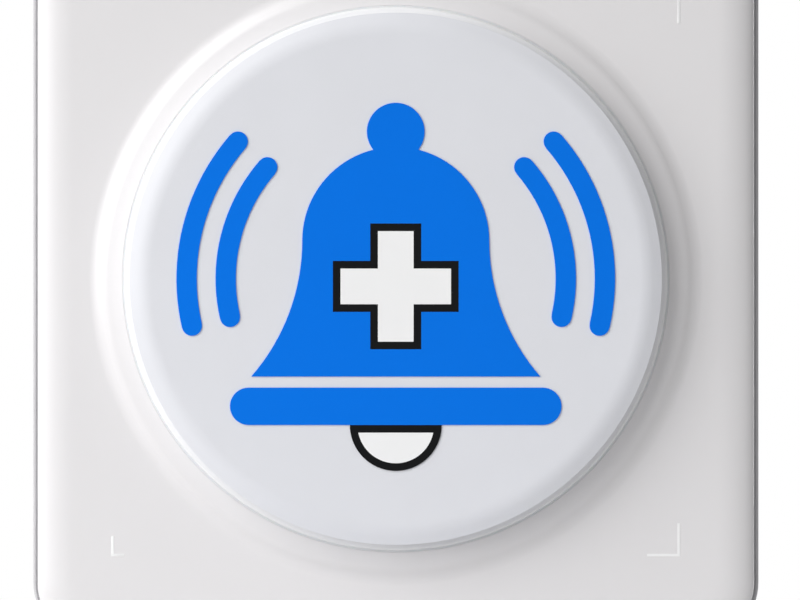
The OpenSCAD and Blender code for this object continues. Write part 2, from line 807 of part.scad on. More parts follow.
module face_cap() color("#DEDFE4") on_wall() translate([0, 0, carrier_z]) rotate_extrude() difference() {
    soft_edge_profile(face_r, face_t + seat_h, face_edge_w, face_edge_d);
    translate([-past, -past]) square([face_bore_r + past, seat_h + past]);
}

module button_seal() color("#4A4D51") on_wall() {
    translate([0, 0, seal_z]) ring(seal_outer_r, seal_inner_r, button_seal_t);
}

module wiper_ring() color("#E4E4E6") on_wall() {
    translate([0, 0, wiper_z]) ring(wiper_outer_r, wiper_inner_r, wiper_t);
}

module actuator_pad() color("#5B5E63") on_wall() {
    translate([0, 0, actuator_z]) cylinder(r = actuator_r, h = actuator_t);
}

// Printed symbol: a bell with a plus sign, a clapper and sound arcs

// A sound arc's round ends are this much slimmer than the arc
arc_end_trim = 0.02;
bell_mouth_y = bell_y - bell_drop;
bar_y = bell_mouth_y - bar_gap - bar_t / 2;
clapper_y = bar_y - bar_t / 2;

module plus_sign(grow) {
    translate([0, bell_y - plus_drop]) for (a = [0, 90]) rotate(a)
        square([plus_l + 2 * grow, plus_w + 2 * grow], center = true);
}

// Lower half of a disc, with its flat side that far below the disc's centre
module clapper(r, drop) {
    translate([0, clapper_y]) intersection() {
        circle(r);
        translate([-r - past, -r - past]) square([2 * (r + past), r + past - drop]);
    }
}

module bell() {
    side_r = (pow(bell_drop, 2) + pow(bell_flare, 2)) / (2 * bell_flare);
    mouth = bell_r + bell_flare + past;
    translate([0, bell_y]) rotate(90) half_disc(bell_r);
    difference() {
        translate([-mouth, bell_mouth_y]) square([2 * mouth, bell_drop]);
        for (s = [-1, 1]) translate([s * (bell_r + side_r), bell_y]) circle(side_r);
    }
    translate([0, bell_y + bell_r + knob_up]) circle(knob_r);
}

module sound_arc(r) {
    outer = r + arc_w / 2;
    inner = r - arc_w / 2;
    reach = outer / cos(arc_half) + past;
    intersection() {
        difference() {
            circle(outer);
            circle(inner);
        }
        polygon([[0, 0], reach * [cos(arc_half), -sin(arc_half)], reach * [cos(arc_half), sin(arc_half)]]);
    }
    for (m = [-1, 1]) rotate(m * arc_half) translate([r, 0]) circle(arc_w / 2 - arc_end_trim);
}

module printed() {
    translate([0, 0, face_z]) linear_extrude(print_t) children();
}

module bell_symbol() color("#0072E5") on_wall() printed() {
    difference() {
        bell();
        plus_sign(outline_w);
    }
    translate([0, bar_y]) slot_outline(bar_l, bar_t / 2);
    for (m = [0, 1], k = [0, 1]) mirror([m, 0]) rotate(arc_lift) sound_arc(arc_r + k * arc_step);
}

module symbol_outline() color("#101114") on_wall() printed() {
    difference() {
        plus_sign(outline_w);
        plus_sign(0);
    }
    difference() {
        clapper(clapper_r, 0);
        clapper(clapper_r - outline_w, outline_w);
    }
}

module symbol_fill() color("#FAFAFA") on_wall() printed() {
    plus_sign(0);
    clapper(clapper_r - outline_w, outline_w);
}

// Chassis, springs and screws

module chassis_notch() {
    half = lock_tab_w / 2 + through_clear;
    inner = rib_w / 2 - lock_tab_d - through_clear;
    translate([-half, -chassis_w / 2 - past, chassis_z - standoff_h - past])
        cube([2 * half, chassis_w / 2 + past - inner, chassis_t + standoff_h + stop_h + 2 * past]);
}

module chassis() color("#D9D8D2") on_wall() difference() {
    union() {
        translate([0, 0, chassis_z]) rounded_plate(chassis_w, chassis_r, chassis_t);
        translate([0, 0, chassis_top - root])
            ring(flange_r - button_gap, flange_r - button_gap - stop_w, stop_h + root);
        at_corners(guide_at) translate([0, 0, chassis_z]) cylinder(r = sleeve_r, h = chassis_t + sleeve_h);
        at_corners(pcb_screw_at) translate([0, 0, pcb_top]) cylinder(r = standoff_r, h = standoff_h + root);
    }
    chassis_notch();
    translate([0, 0, chassis_z - past])
        block([switch_w + 2 * window_clear, switch_w + 2 * window_clear, chassis_t + 2 * past]);
    at_corners(guide_at) translate([0, 0, chassis_z - past])
        cylinder(r = post_r + running_clear, h = chassis_t + sleeve_h + 2 * past);
    at_corners(boss_at) translate([0, 0, chassis_z - past])
        cylinder(r = chassis_screw_r + through_clear, h = chassis_t + 2 * past);
    at_corners(pcb_screw_at) translate([0, 0, pcb_top - past])
        cylinder(r = pcb_screw_r + thread_clear, h = standoff_h + chassis_t + 2 * past);
}

module chassis_screws() color("#B9BDC2") on_wall() at_corners(boss_at) translate([0, 0, chassis_z])
    pan_screw(chassis_screw_r, chassis_t + chassis_screw_l, chassis_head_r, chassis_head_h);

module return_spring(i) color("#B4B8BD") on_wall()
    translate([corners[i - 1].x * guide_at, corners[i - 1].y * guide_at, 0])
        wire(spring_path, spring_outs, spring_wire_r);

// Circuit board

module terminal_row(grow, z, h) {
    for (sx = [-1, 1], sy = [-1, 1])
        translate([sx * (switch_w + terminal_t) / 2, sy * terminal_pitch / 2, z])
            block([terminal_t + 2 * grow, terminal_w + 2 * grow, h]);
}

module pcb() color("#1E6A3B") on_wall() difference() {
    translate([0, 0, pcb_z]) rounded_plate(pcb_w, pcb_r, pcb_t);
    at_corners(pcb_screw_at) translate([0, 0, pcb_z - past])
        cylinder(r = pcb_screw_r + through_clear, h = pcb_t + 2 * past);
    terminal_row(lay_clear, pcb_z - past, pcb_t + 2 * past);
}

module pcb_screws() color("#B9BDC2") on_wall() at_corners(pcb_screw_at) translate([0, 0, pcb_z])
    pan_screw(pcb_screw_r, pcb_screw_l, pcb_head_r, pcb_head_h);

module switch_body() color("#232427") on_wall() difference() {
    translate([0, 0, pcb_top]) block([switch_w, switch_w, switch_top - pcb_top]);
    translate([0, 0, pcb_top + switch_floor_t])
        cylinder(r = plunger_r + running_clear, h = switch_top - pcb_top);
}

module switch_frame() color("#C3C7CB") on_wall() translate([0, 0, switch_top]) {
    difference() {
        block([switch_w, switch_w, switch_frame_t]);
        translate([0, 0, -past]) cylinder(r = frame_bore_r, h = switch_frame_t + 2 * past);
    }
    at_corners(switch_w / 2 - rivet_inset) cylinder(r = rivet_r, h = 2 * switch_frame_t);
}

module switch_plunger() color("#303237") on_wall() {
    translate([0, 0, plunger_z]) cylinder(r = plunger_r, h = plunger_top - plunger_z);
}

module contact_dome() color("#CDCFD1") on_wall() {
    translate([0, 0, pcb_top + switch_floor_t]) cylinder(r = dome_r, h = dome_t);
}

module switch_terminals() color("#D5D0C0") on_wall() {
    terminal_row(0, pcb_z - terminal_out, terminal_out + pcb_t + terminal_rise);
}

// Battery, on the back of the board

module at_cell(z) {
    translate([cell_at.x, cell_at.y, z]) children();
}

module battery_holder() color("#2A2B2E") on_wall() difference() {
    at_cell(cell_z + holder_rim) cylinder(r = holder_r, h = pcb_z - cell_z - holder_rim);
    at_cell(cell_z) cylinder(r = holder_bore_r, h = cell_t);
    at_cell(cell_z) cylinder(r = contact_r + lay_clear, h = pcb_z - cell_z + past);
}

module coin_cell() color("#C8CACD") on_wall() {
    at_cell(cell_z) cylinder(r = cell_r, h = cell_t - cell_cap_t);
    at_cell(cell_z) cylinder(r = cell_cap_r, h = cell_t);
}

module battery_clip() color("#C4C1B4") on_wall() {
    reach = holder_r + lay_clear;
    at_cell(clip_z) block([2 * (reach + clip_t), clip_w, clip_t]);
    for (s = [-1, 1]) at_cell(clip_z) translate([s * (reach + clip_t / 2), 0, 0])
        block([clip_t, clip_w, pcb_z - clip_z]);
}

module battery_contact() color("#C9B27A") on_wall() {
    at_cell(cell_top) cylinder(r = contact_r, h = holder_base_t);
}

// Radio and small components, on the back of the board

module radio_module() color("#1F4E86") on_wall()
    on_board_back(radio_at, [radio_board_w, radio_board_h, radio_board_t]);

module radio_shield() color("#C6C9CC") on_wall()
    on_board_back(radio_at, [radio_can_w, radio_can_h, radio_can_t], radio_board_t);

module antenna_coil() color("#C58A4A") on_wall() wire(antenna_path, antenna_outs, antenna_wire_r);

module microcontroller() color("#1C1D1F") on_wall()
    on_board_back(controller_at, [controller_w, controller_w, controller_t]);

module crystal() color("#C9CCCF") on_wall()
    translate([crystal_at.x, crystal_at.y, pcb_z - crystal_t]) linear_extrude(crystal_t)
        slot_outline(crystal_l, crystal_w / 2);

module capacitors() color("#B99A6B") on_wall() for (at = capacitor_at)
    on_board_back(at, [capacitor_l, capacitor_w, capacitor_t]);

module resistors() color("#26282B") on_wall() for (at = resistor_at)
    on_board_back(at, [resistor_l, resistor_w, resistor_t]);

wall_plate();
perimeter_seal();
adhesive_pads();
front_cover();
cover_lock_screw();
button_carrier();
face_cap();
bell_symbol();
symbol_outline();
symbol_fill();
button_seal();
wiper_ring();
actuator_pad();
chassis();
chassis_screws();
for (i = [1:4]) return_spring(i);
pcb();
pcb_screws();
switch_body();
switch_frame();
switch_plunger();
contact_dome();
switch_terminals();
battery_holder();
coin_cell();
battery_clip();
battery_contact();
radio_module();
radio_shield();
antenna_coil();
microcontroller();
crystal();
capacitors();
resistors();
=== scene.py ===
"""Wireless nurse call point: a gloss white box on a grey wall plate, with one large round push button.

Every piece is modelled flat on a bench, with x to the right, y up the wall and z out of the wall.
stand_up() then turns it upright, so that its back lies in the plane y = 0 and the button faces -Y.
"""
import json
import math

import bmesh
import bpy
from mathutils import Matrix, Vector


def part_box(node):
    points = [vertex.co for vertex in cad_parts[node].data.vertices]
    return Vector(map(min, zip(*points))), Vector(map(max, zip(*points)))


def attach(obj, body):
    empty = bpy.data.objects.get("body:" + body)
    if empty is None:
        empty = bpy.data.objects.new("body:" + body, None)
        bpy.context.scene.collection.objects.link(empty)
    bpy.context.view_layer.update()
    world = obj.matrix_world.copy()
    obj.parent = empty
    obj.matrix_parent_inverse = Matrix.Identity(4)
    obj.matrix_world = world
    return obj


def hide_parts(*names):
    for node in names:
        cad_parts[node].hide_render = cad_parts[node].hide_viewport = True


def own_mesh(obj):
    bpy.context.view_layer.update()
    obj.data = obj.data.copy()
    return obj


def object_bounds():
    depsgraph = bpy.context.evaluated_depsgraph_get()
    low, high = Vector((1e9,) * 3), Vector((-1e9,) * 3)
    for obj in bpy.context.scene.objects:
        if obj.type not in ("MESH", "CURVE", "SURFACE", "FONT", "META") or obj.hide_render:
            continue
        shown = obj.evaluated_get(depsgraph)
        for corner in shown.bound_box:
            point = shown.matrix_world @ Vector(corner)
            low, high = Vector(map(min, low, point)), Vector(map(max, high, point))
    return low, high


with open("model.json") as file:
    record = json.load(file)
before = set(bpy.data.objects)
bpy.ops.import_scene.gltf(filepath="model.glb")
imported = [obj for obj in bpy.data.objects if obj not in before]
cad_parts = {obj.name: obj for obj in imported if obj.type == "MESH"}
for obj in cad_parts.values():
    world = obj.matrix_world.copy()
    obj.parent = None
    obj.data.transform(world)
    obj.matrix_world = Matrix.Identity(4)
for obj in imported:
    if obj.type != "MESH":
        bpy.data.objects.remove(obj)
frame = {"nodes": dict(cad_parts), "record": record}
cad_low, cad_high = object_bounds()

MM = 0.001
TINY = 0.002 * MM
MERGE = 0.0005 * MM
UP = Vector((0, 0, 1))
HALF_TURN = (0, 0, 180)

# Sizes that the boxes of the CAD nodes don't give; pairs are a width or radius and a height or depth

# Wall plate
PLATE = 2.2 * MM
PLATE_CORNER = 7.0 * MM
PLATE_RIM = 0.5 * MM
PLATE_RIM_WIDTH = 0.32 * MM
PLATE_RIM_FALL = 0.05 * MM
PLATE_EDGE = 0.07 * MM
PLATE_BACK_EDGE = 0.21 * MM
PLATE_REVEAL = 0.5 * MM
SHADOW_GAP = 0.3 * MM
RIB = 1.5 * MM
RIB_HEIGHT = 3.0 * MM
HOOK = Vector((8.0, 0.9, 1.2)) * MM
HOOK_PITCH = 36.0 * MM
HOOK_EDGE = 0.2 * MM
LOCK_TAB = Vector((10.0, 4.2)) * MM
LOCK_TAB_EDGE = 0.3 * MM
FIXING_PITCH = 60.3 * MM
FIXING_SLOT = Vector((8.0, 4.5)) * MM
ARROW = Vector((6.0, 3.0)) * MM
ARROW_DEPTH = 0.3 * MM
ARROW_UP = 1.8 * MM
PAD_HEIGHT = 15.0 * MM
PAD_CORNER = 1.2 * MM
PAD_EDGE = 0.12 * MM
SEAL = 1.2 * MM
SEAL_EDGE = 0.36 * MM

# Front cover
COVER_WALL = 2.2 * MM
FRONT_WALL = 2.4 * MM
COVER_EDGE = Vector((4.2, 1.3)) * MM
COLLAR_RISE = 1.1 * MM
COLLAR_LIP = 0.06 * MM
COLLAR_SLOPE_WIDTH = 1.64 * MM
COLLAR_SHOULDER = 2.5 * MM
COLLAR_SLOPE = 12
COLLAR_STEEP = 32
BOSS = 3.1 * MM
BOSS_RIB = 1.2 * MM

# Printed angles: the line's width and height, then each angle's sides, corner and arms
MARK = Vector((0.3, 0.03)) * MM
MARKS = (
    ((1, 1, 1), Vector((33.5, 33.5, 0)) * MM, Vector((3.4, 3.4)) * MM),
    ((1, -1, 1), Vector((33.5, 32.7, 0)) * MM, Vector((3.9, 3.9)) * MM),
    ((-1, -1, 1), Vector((33.5, 32.7, 0)) * MM, Vector((1.5, 2.4)) * MM),
)

# Button
FLANGE = Vector((2.2, 1.6)) * MM
SKIRT = 2.0 * MM
CARRIER_TOP = 1.6 * MM
CARRIER_EDGE = 0.3 * MM
WEB = Vector((1.2, 2.0)) * MM
POST = 1.95 * MM
POST_EDGE = 0.4 * MM
PRESS_BOSS = 4.0 * MM
FACE_EDGE = 2.5 * MM
FACE_BEND = 1.7 * MM
FACE_SLOPE = 17
FACE_SEAT = 1.0 * MM
FACE_WALL = 0.75 * MM
WIPER_LIP_SINK = 0.01 * MM
WIPER_LIP_EDGE = 0.02 * MM
GASKET_EDGE = 0.15 * MM
ACTUATOR_EDGE = 0.2 * MM

# Chassis and springs
CHASSIS = 1.6 * MM
CHASSIS_CORNER = 3.0 * MM
CHASSIS_EDGE = 0.2 * MM
SLEEVE = 1.2 * MM
STOP = Vector((1.8, 1.35)) * MM
STANDOFF = 2.6 * MM
SPRING_WIRE = 0.35 * MM
SPRING_TURNS = 4
SPRING_END_RISE = 2.04 * SPRING_WIRE

# Screws, with the thread and the tip as shares of the shank's radius, and two shares of the head
LOCK_SCREW = 1.4 * MM
LOCK_HEAD = Vector((2.4, 1.0)) * MM
CHASSIS_SCREW = Vector((1.25, 4.0)) * MM
CHASSIS_HEAD = Vector((2.6, 1.6)) * MM
PCB_SCREW = 0.95 * MM
PCB_HEAD = Vector((1.9, 1.3)) * MM
DRIVE = Vector((0.55, 0.5)) * MM
THREAD_PITCH = 0.8
THREAD_DEPTH = 0.22
SCREW_TIP = 0.4
HEAD_EDGE = 0.45
DRIVE_REACH = 0.65

# Switch, with the dish and the dome as shares of a radius and a rise
SWITCH_EDGE = 0.15 * MM
SWITCH_FLOOR = 1.0 * MM
SWITCH_FRAME_EDGE = 0.08 * MM
RIVET = Vector((0.6, 0.3)) * MM
RIVET_INSET = 1.4 * MM
PLUNGER_EDGE = 0.5 * MM
DISH_RIM = 0.55
DISH_FLOOR = 0.45
DISH_DEPTH = 0.1 * MM
DOME = ((1, 0), (1, 0.3), (0.7, 0.8), (0.3, 1))
TERMINAL = Vector((0.3, 1.0)) * MM
TERMINAL_EDGE = 0.06 * MM

# Battery
HOLDER_EDGE = 0.25 * MM
THUMB = Vector((7.0, 2.0, 1.4)) * MM
THUMB_EDGE = 0.6 * MM
CELL = Vector((10.0, 3.2)) * MM
CELL_EDGE = 0.35 * MM
CELL_CAP = Vector((8.8, 0.3)) * MM
CELL_RING = 8.2 * MM
CELL_RING_WIDTH = 0.4 * MM
CELL_GROOVE = 0.12 * MM
CRIMP_MOUTH = 0.3 * MM
CRIMP_FLOOR = 0.2 * MM
CLIP = 0.3 * MM
CLIP_BEND = 0.28 * MM
CONTACT = 4.0 * MM
CONTACT_DOT = Vector((1.4, 0.15)) * MM
CONTACT_RIM = Vector((0.4, 0.05)) * MM

# Radio, chips and small components
ANTENNA_WIRE = 0.25 * MM
ANTENNA_TURNS = 8.5
ANTENNA_DROP = 1.4 * MM
SHIELD_EDGE = 0.25 * MM
VENT = Vector((0.35, 0.15)) * MM
VENT_INSET = 2.5 * MM
VENT_COLUMNS = 4
VENT_ROWS = 5
RADIO_PAD = Vector((0.9, 0.8, 0.05)) * MM
RADIO_PAD_PROUD = 0.03 * MM
RADIO_PAD_INSET = Vector((0.05, 1.5)) * MM
RADIO_PADS = 12
CASE_LIFT = 0.08 * MM
CASE_EDGE = 0.1 * MM
PIN_ONE = Vector((0.4, 0.08)) * MM
PIN_ONE_INSET = 1.1 * MM
LEADS = 8
LEAD = Vector((0.32, 0.15)) * MM
LEAD_INSET = 0.9 * MM
LEAD_KNEE = 0.35 * MM
LEAD_REACH = 0.9 * MM
LEAD_RISE = 0.55 * MM
LEAD_SOLDER = 0.01 * MM
CRYSTAL_EDGE = 0.4 * MM
CRYSTAL_FLANGE = Vector((0.25, 0.35)) * MM
CHIP = Vector((2.0, 1.25)) * MM
CHIP_EDGE = 0.06 * MM
CHIP_STEP = 0.05 * MM
CHIP_CAP = 0.38 * MM
CHIP_CAP_EDGE = 0.07 * MM

# How far a joined piece reaches into its neighbour, and a cutter past the face that it cuts
ROOT = 0.5 * MM

# Clearances
BUTTON_GAP = 0.2 * MM
WIPER_GAP = 0.006 * MM
RIB_CLEAR = 0.25 * MM
HOOK_CLEAR = 0.1 * MM
SEAL_GAP = 0.05 * MM
RUN_CLEAR = 0.05 * MM
THROUGH_CLEAR = 0.25 * MM
LAY_CLEAR = 0.15 * MM
WINDOW_CLEAR = 0.8 * MM

# How finely round shapes are divided, and the angles up to which a surface is shaded as one
TURN_SIDES = 256
CELL_SIDES = 96
ROD_SIDES = 48
SMALL_SIDES = 24
VENT_SIDES = 20
CORNER_SIDES = 16
PAD_CORNER_SIDES = 8
EDGE_SIDES = 14
LIP_SIDES = 6
SOFT_SIDES = 4
GASKET_SIDES = 3
WIRE_SIDES = 14
STEPS_PER_TURN = 28
SMOOTH = 32
WIRE_SMOOTH = 60

# Share of half its width that rounds the end of a slot or a can
FULL_ROUND = 0.999

# Materials: the limits between which most values of a noise lie, then sizes of the patterns
NOISE_LOW = 0.3
NOISE_HIGH = 0.7
MOTTLE = 9 * MM
LINE = 0.15 * MM
RING_PITCH = 0.377 * MM
LINE_DEPTH = 0.001 * MM
PORE_DEPTH = 0.08 * MM

# Circuit boards: shares of the fields, and the wave's values at the edge of a trace
UPWARD_FIELDS = 0.5
BARE_FIELDS = 0.3
TRACE_FOOT = 0.6
TRACE_TOP = 0.75
TRACE_DEPTH = 0.03 * MM

# Radians by which a wave texture advances in one unit of length at a scale of 1
WAVE_TURN = 20

# Stage, light and camera, in metres and watts
WHITE = "#FFFFFF"
WORLD_LEVEL = 0.29
FLOOR = 0.28
FLOOR_DROP = 0.2 * MM
FLOOR_COLOUR = "#E0E0E0"
FLOOR_GLOW = 0.64
CAMERA_DISTANCE = 2.4
CAMERA_REACH = 10
FRAME_WIDTH = 94.25 * MM
VIEW_SHIFT = Vector((0.5 * MM, 0, -2.5 * MM))
SENSOR = 36

# Each lamp's place, the length of its sides and its power
LAMPS = {
    "key": (Vector((-0.54, -0.42, 0.31)), 0.74, 6.7),
    "back": (Vector((0.2, 1.3, 0.35)), 0.9, 10.0),
}

# The record's material slot and body of every CAD node
SLOTS = {part["node"]: part["material_slot"] for part in frame["record"]["subparts"]}
BODIES = {node: body for body, nodes in frame["record"]["behaviour"]["bodies"].items() for node in nodes}


def bench_box(node):
    """Lowest and highest corner of a CAD node, in bench axes."""
    low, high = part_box(node)
    return Vector((low.x, low.z, -high.y)), Vector((high.x, high.z, -low.y))


def axis_of(node):
    """The middle of a CAD node, at z = 0."""
    low, high = bench_box(node)
    return Vector(((low.x + high.x) / 2, (low.y + high.y) / 2, 0))


# Modelling

def choose(piece):
    """Makes a piece the active object and the only one that is selected."""
    bpy.ops.object.select_all(action="DESELECT")
    bpy.context.view_layer.objects.active = piece
    piece.select_set(True)


def apply_place(piece):
    """Puts a piece's place, turn and scale into its mesh."""
    choose(piece)
    bpy.ops.object.transform_apply(location=True, rotation=True, scale=True)


def add(name, primitive, **settings):
    """Adds a primitive with nothing else selected, and puts its size and place into its mesh."""
    bpy.ops.object.select_all(action="DESELECT")
    primitive(**settings)
    piece = bpy.context.object
    piece.name = name
    piece.data.name = name
    apply_place(piece)
    return piece


def edit(piece):
    """Opens one piece for editing, with nothing in it selected."""
    choose(piece)
    bpy.ops.object.mode_set(mode="EDIT")
    bpy.ops.mesh.select_all(action="DESELECT")


def leave():
    bpy.ops.object.mode_set(mode="OBJECT")


def pick(piece, kind, test):
    """Selects the edges or faces of the edited piece that pass a test."""
    bpy.ops.mesh.select_all(action="DESELECT")
    bpy.ops.mesh.select_mode(type=kind)
    mesh = bmesh.from_edit_mesh(piece.data)
    for item in {"EDGE": mesh.edges, "FACE": mesh.faces}[kind]:
        if test(item):
            item.select_set(True)
    mesh.select_flush_mode()
    bmesh.update_edit_mesh(piece.data)


def at_height(z):
    """A test for edges and faces that lie wholly at one height."""
    return lambda item: all(abs(v.co.z - z) < TINY for v in item.verts)


def is_open(edge):
    return edge.is_boundary


def open_at(z):
    """A test for open edges at one height."""
    flat = at_height(z)
    return lambda edge: is_open(edge) and flat(edge)


def is_upright(edge):
    side = edge.verts[1].co - edge.verts[0].co
    return side.xy.length < TINY


def arc(centre, radius, start, end, steps):
    """Points of an arc in a section, from one angle to another in degrees."""
    turns = [math.radians(start + (end - start) * k / steps) for k in range(steps + 1)]
    return [(centre[0] + radius * math.cos(a), centre[1] + radius * math.sin(a)) for a in turns]


def round_rim(outer, low, high, soft, sides):
    """Section of a disc's outer side, with both its edges rounded."""
    return [*arc((outer - soft, low + soft), soft, 270, 360, sides),
            *arc((outer - soft, high - soft), soft, 0, 90, sides)]


def turned(name, section, ends="open", sides=TURN_SIDES):
    """A piece turned about z: a circle is extruded along the (radius, height) points of its section.

    Its ends stay open, are closed by discs, or are bridged to each other."""
    fill = "NGON" if ends == "discs" else "NOTHING"
    radius, height = section[0]
    piece = add(name, bpy.ops.mesh.primitive_circle_add, vertices=sides, radius=radius,
                fill_type=fill, location=(0, 0, height))
    edit(piece)
    bpy.ops.mesh.select_mode(type="EDGE")
    bpy.ops.mesh.select_all(action="SELECT")
    for wide, high in section[1:]:
        bpy.ops.mesh.extrude_edges_move(TRANSFORM_OT_translate={"value": (0, 0, high - height)})
        bpy.ops.transform.resize(value=(wide / radius, wide / radius, 1))
        radius, height = wide, high
    if ends == "discs":
        bpy.ops.mesh.edge_face_add()
    if ends == "bridged":
        pick(piece, "EDGE", is_open)
        bpy.ops.mesh.bridge_edge_loops()
    leave()
    return piece


def round_edges(piece, test, width, sides):
    """Rounds the edges of a piece that pass a test."""
    edit(piece)
    pick(piece, "EDGE", test)
    bpy.ops.mesh.bevel(offset=width, segments=sides, affect="EDGES")
    leave()


def block(name, low, high, soft=0, sides=2):
    """A block between two corners, with all its edges softened."""
    piece = add(name, bpy.ops.mesh.primitive_cube_add, size=1, location=(low + high) / 2, scale=high - low)
    if soft:
        round_edges(piece, lambda edge: True, soft, sides)
    return piece


def rod(name, start, end, radius, sides=ROD_SIDES):
    """A round bar from one point to another."""
    along = end - start
    return add(name, bpy.ops.mesh.primitive_cylinder_add, vertices=sides, radius=radius, depth=along.length,
               location=(start + end) / 2, rotation=along.to_track_quat("Z", "Y").to_euler())


def upright_rod(name, at, low, high, radius):
    """A round bar along z, at equal distances to the right and up."""
    return rod(name, Vector((at, at, low)), Vector((at, at, high)), radius)


def rounded_box(name, low, high, corner, sides=CORNER_SIDES):
    """A block with rounded upright corners."""
    piece = block(name, low, high)
    round_edges(piece, is_upright, corner, sides)
    return piece


def band(name, low, high, corner, width):
    """A band of even width whose outer side is a block with rounded corners."""
    piece = rounded_box(name, low, high, corner)
    edit(piece)
    for z in (low.z, high.z):
        pick(piece, "FACE", at_height(z))
        bpy.ops.mesh.inset(thickness=width)
        bpy.ops.mesh.delete(type="FACE")
    pick(piece, "EDGE", is_open)
    bpy.ops.mesh.bridge_edge_loops()
    leave()
    return piece


def soften(piece, z, width, sides):
    """Rounds the edges round the flat faces of a piece at one height."""
    edit(piece)
    pick(piece, "FACE", at_height(z))
    bpy.ops.mesh.region_to_loop()
    bpy.ops.mesh.bevel(offset=width, segments=sides, affect="EDGES")
    leave()


def dome_edge(piece, z, edge, sides):
    """Carries the flat top of a piece on, up a quarter of an ellipse, to a smaller flat top."""
    turns = [math.radians(90 * k / sides) for k in range(sides + 1)]
    edit(piece)
    pick(piece, "FACE", at_height(z))
    for a, b in zip(turns, turns[1:]):
        bpy.ops.mesh.inset(thickness=edge.x * (math.cos(a) - math.cos(b)),
                           depth=edge.y * (math.sin(b) - math.sin(a)))
    leave()


def without_faces(piece, *heights):
    """Takes the flat faces of a piece away at some heights."""
    edit(piece)
    for z in heights:
        pick(piece, "FACE", at_height(z))
        bpy.ops.mesh.delete(type="FACE")
    leave()


def moved(piece, place=(0, 0, 0), turn=(0, 0, 0), scale=(1, 1, 1)):
    """Moves, turns and scales a piece, with the angles in degrees."""
    piece.location = place
    piece.rotation_euler = [math.radians(angle) for angle in turn]
    piece.scale = scale
    apply_place(piece)
    return piece


def copied(piece, **change):
    """A copy with its own mesh, moved, turned or scaled."""
    choose(piece)
    bpy.ops.object.duplicate(linked=False)
    return moved(bpy.context.object, **change)


def mirrored(piece, scale):
    """Mirrors a piece in the middle planes of the part, and keeps its faces outwards."""
    close_shell(moved(piece, scale=scale))
    return piece


def quarter_turns(piece):
    """A piece and three copies of it, each a quarter turn further round z."""
    return [piece, *[copied(piece, turn=(0, 0, 90 * k)) for k in (1, 2, 3)]]


def four(piece):
    """A piece and its three copies round z, as one."""
    return join(*quarter_turns(piece))


def spaced(first, last, count):
    """Evenly spaced values from the first to the last."""
    if count == 1:
        return [first]
    return [first + (last - first) * k / (count - 1) for k in range(count)]


def join(piece, *others):
    choose(piece)
    for other in others:
        other.select_set(True)
    bpy.ops.object.join()
    return piece


def apply(piece, kind, **settings):
    """Puts a modifier on a piece and applies it."""
    choose(piece)
    change = piece.modifiers.new("change", kind)
    for name, value in settings.items():
        setattr(change, name, value)
    bpy.ops.object.modifier_apply(modifier=change.name)


def combine(piece, operation, others):
    for other in others:
        apply(piece, "BOOLEAN", operation=operation, solver="EXACT", object=other)
        bpy.data.objects.remove(other)


def unite(piece, *others):
    combine(piece, "UNION", others)


def cut(piece, *others):
    combine(piece, "DIFFERENCE", others)


def close_shell(piece):
    """Merges doubles and turns every face outwards."""
    edit(piece)
    bpy.ops.mesh.select_all(action="SELECT")
    bpy.ops.mesh.remove_doubles(threshold=MERGE)
    bpy.ops.mesh.normals_make_consistent(inside=False)
    leave()


def dress(piece, slot):
    """Gives a piece one finish all over."""
    piece.data.materials.clear()
    piece.data.materials.append(finishes[slot])


def stand_up(piece, node, slot=None, replace=True, smooth=SMOOTH):
    """Turns a finished piece upright, into the place of its CAD node or beside that node's piece."""
    close_shell(piece)
    moved(piece, turn=(90, 0, 0))
    bpy.ops.object.shade_smooth_by_angle(angle=math.radians(smooth))
    apply(piece, "WEIGHTED_NORMAL", keep_sharp=True)
    slot = slot or SLOTS[node]
    dress(piece, slot)
    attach(piece, BODIES[node])
    if replace:
        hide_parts(node)


# Materials

def linear(code):
    """A colour written as sRGB hex, in linear light."""
    parts = [int(code[k:k + 2], 16) / 255 for k in (1, 3, 5)]
    return [c / 12.92 if c <= 0.04045 else ((c + 0.055) / 1.055) ** 2.4 for c in parts] + [1]


def add_node(tree, kind, inputs, **settings):
    """Adds a node, with its settings, and gives its inputs a value or another node's output."""
    made = tree.nodes.new(kind)
    for name, value in settings.items():
        setattr(made, name, value)
    for name, value in inputs.items():
        if isinstance(value, bpy.types.NodeSocket):
            tree.links.new(value, made.inputs[name])
        else:
            made.inputs[name].default_value = value
    return made


def surface(name, **constants):
    """A new material with its shader's constants set, and its tree, shader and object coordinates."""
    made = bpy.data.materials.new(name)
    made.use_nodes = True
    tree = made.node_tree
    shader = tree.nodes["Principled BSDF"]
    for socket, value in constants.items():
        shader.inputs[socket.replace("_", " ")].default_value = value
    place = add_node(tree, "ShaderNodeTexCoord", {}).outputs["Object"]
    return made, tree, shader, place


def tinted(tree, shader, colour, value, depth):
    """Gives the shader a colour that a value darkens by up to a share of it."""
    tint = add_node(tree, "ShaderNodeMapRange", {
        "Value": value, "From Min": NOISE_LOW, "From Max": NOISE_HIGH, "To Min": 1 - depth, "To Max": 1.0})
    shade = add_node(tree, "ShaderNodeVectorMath", {0: linear(colour)[:3], "Scale": tint.outputs["Result"]},
                     operation="SCALE")
    tree.links.new(shade.outputs["Vector"], shader.inputs["Base Color"])


def textured(tree, shader, value, roughness, spread, depth):
    """Lets a value vary the shader's roughness and stand out from the surface by a depth."""
    gloss = add_node(tree, "ShaderNodeMapRange", {
        "Value": value, "From Min": NOISE_LOW, "From Max": NOISE_HIGH,
        "To Min": roughness - spread, "To Max": roughness + spread})
    bump = add_node(tree, "ShaderNodeBump", {"Height": value, "Strength": 1.0, "Distance": depth})
    tree.links.new(gloss.outputs["Result"], shader.inputs["Roughness"])
    tree.links.new(bump.outputs["Normal"], shader.inputs["Normal"])


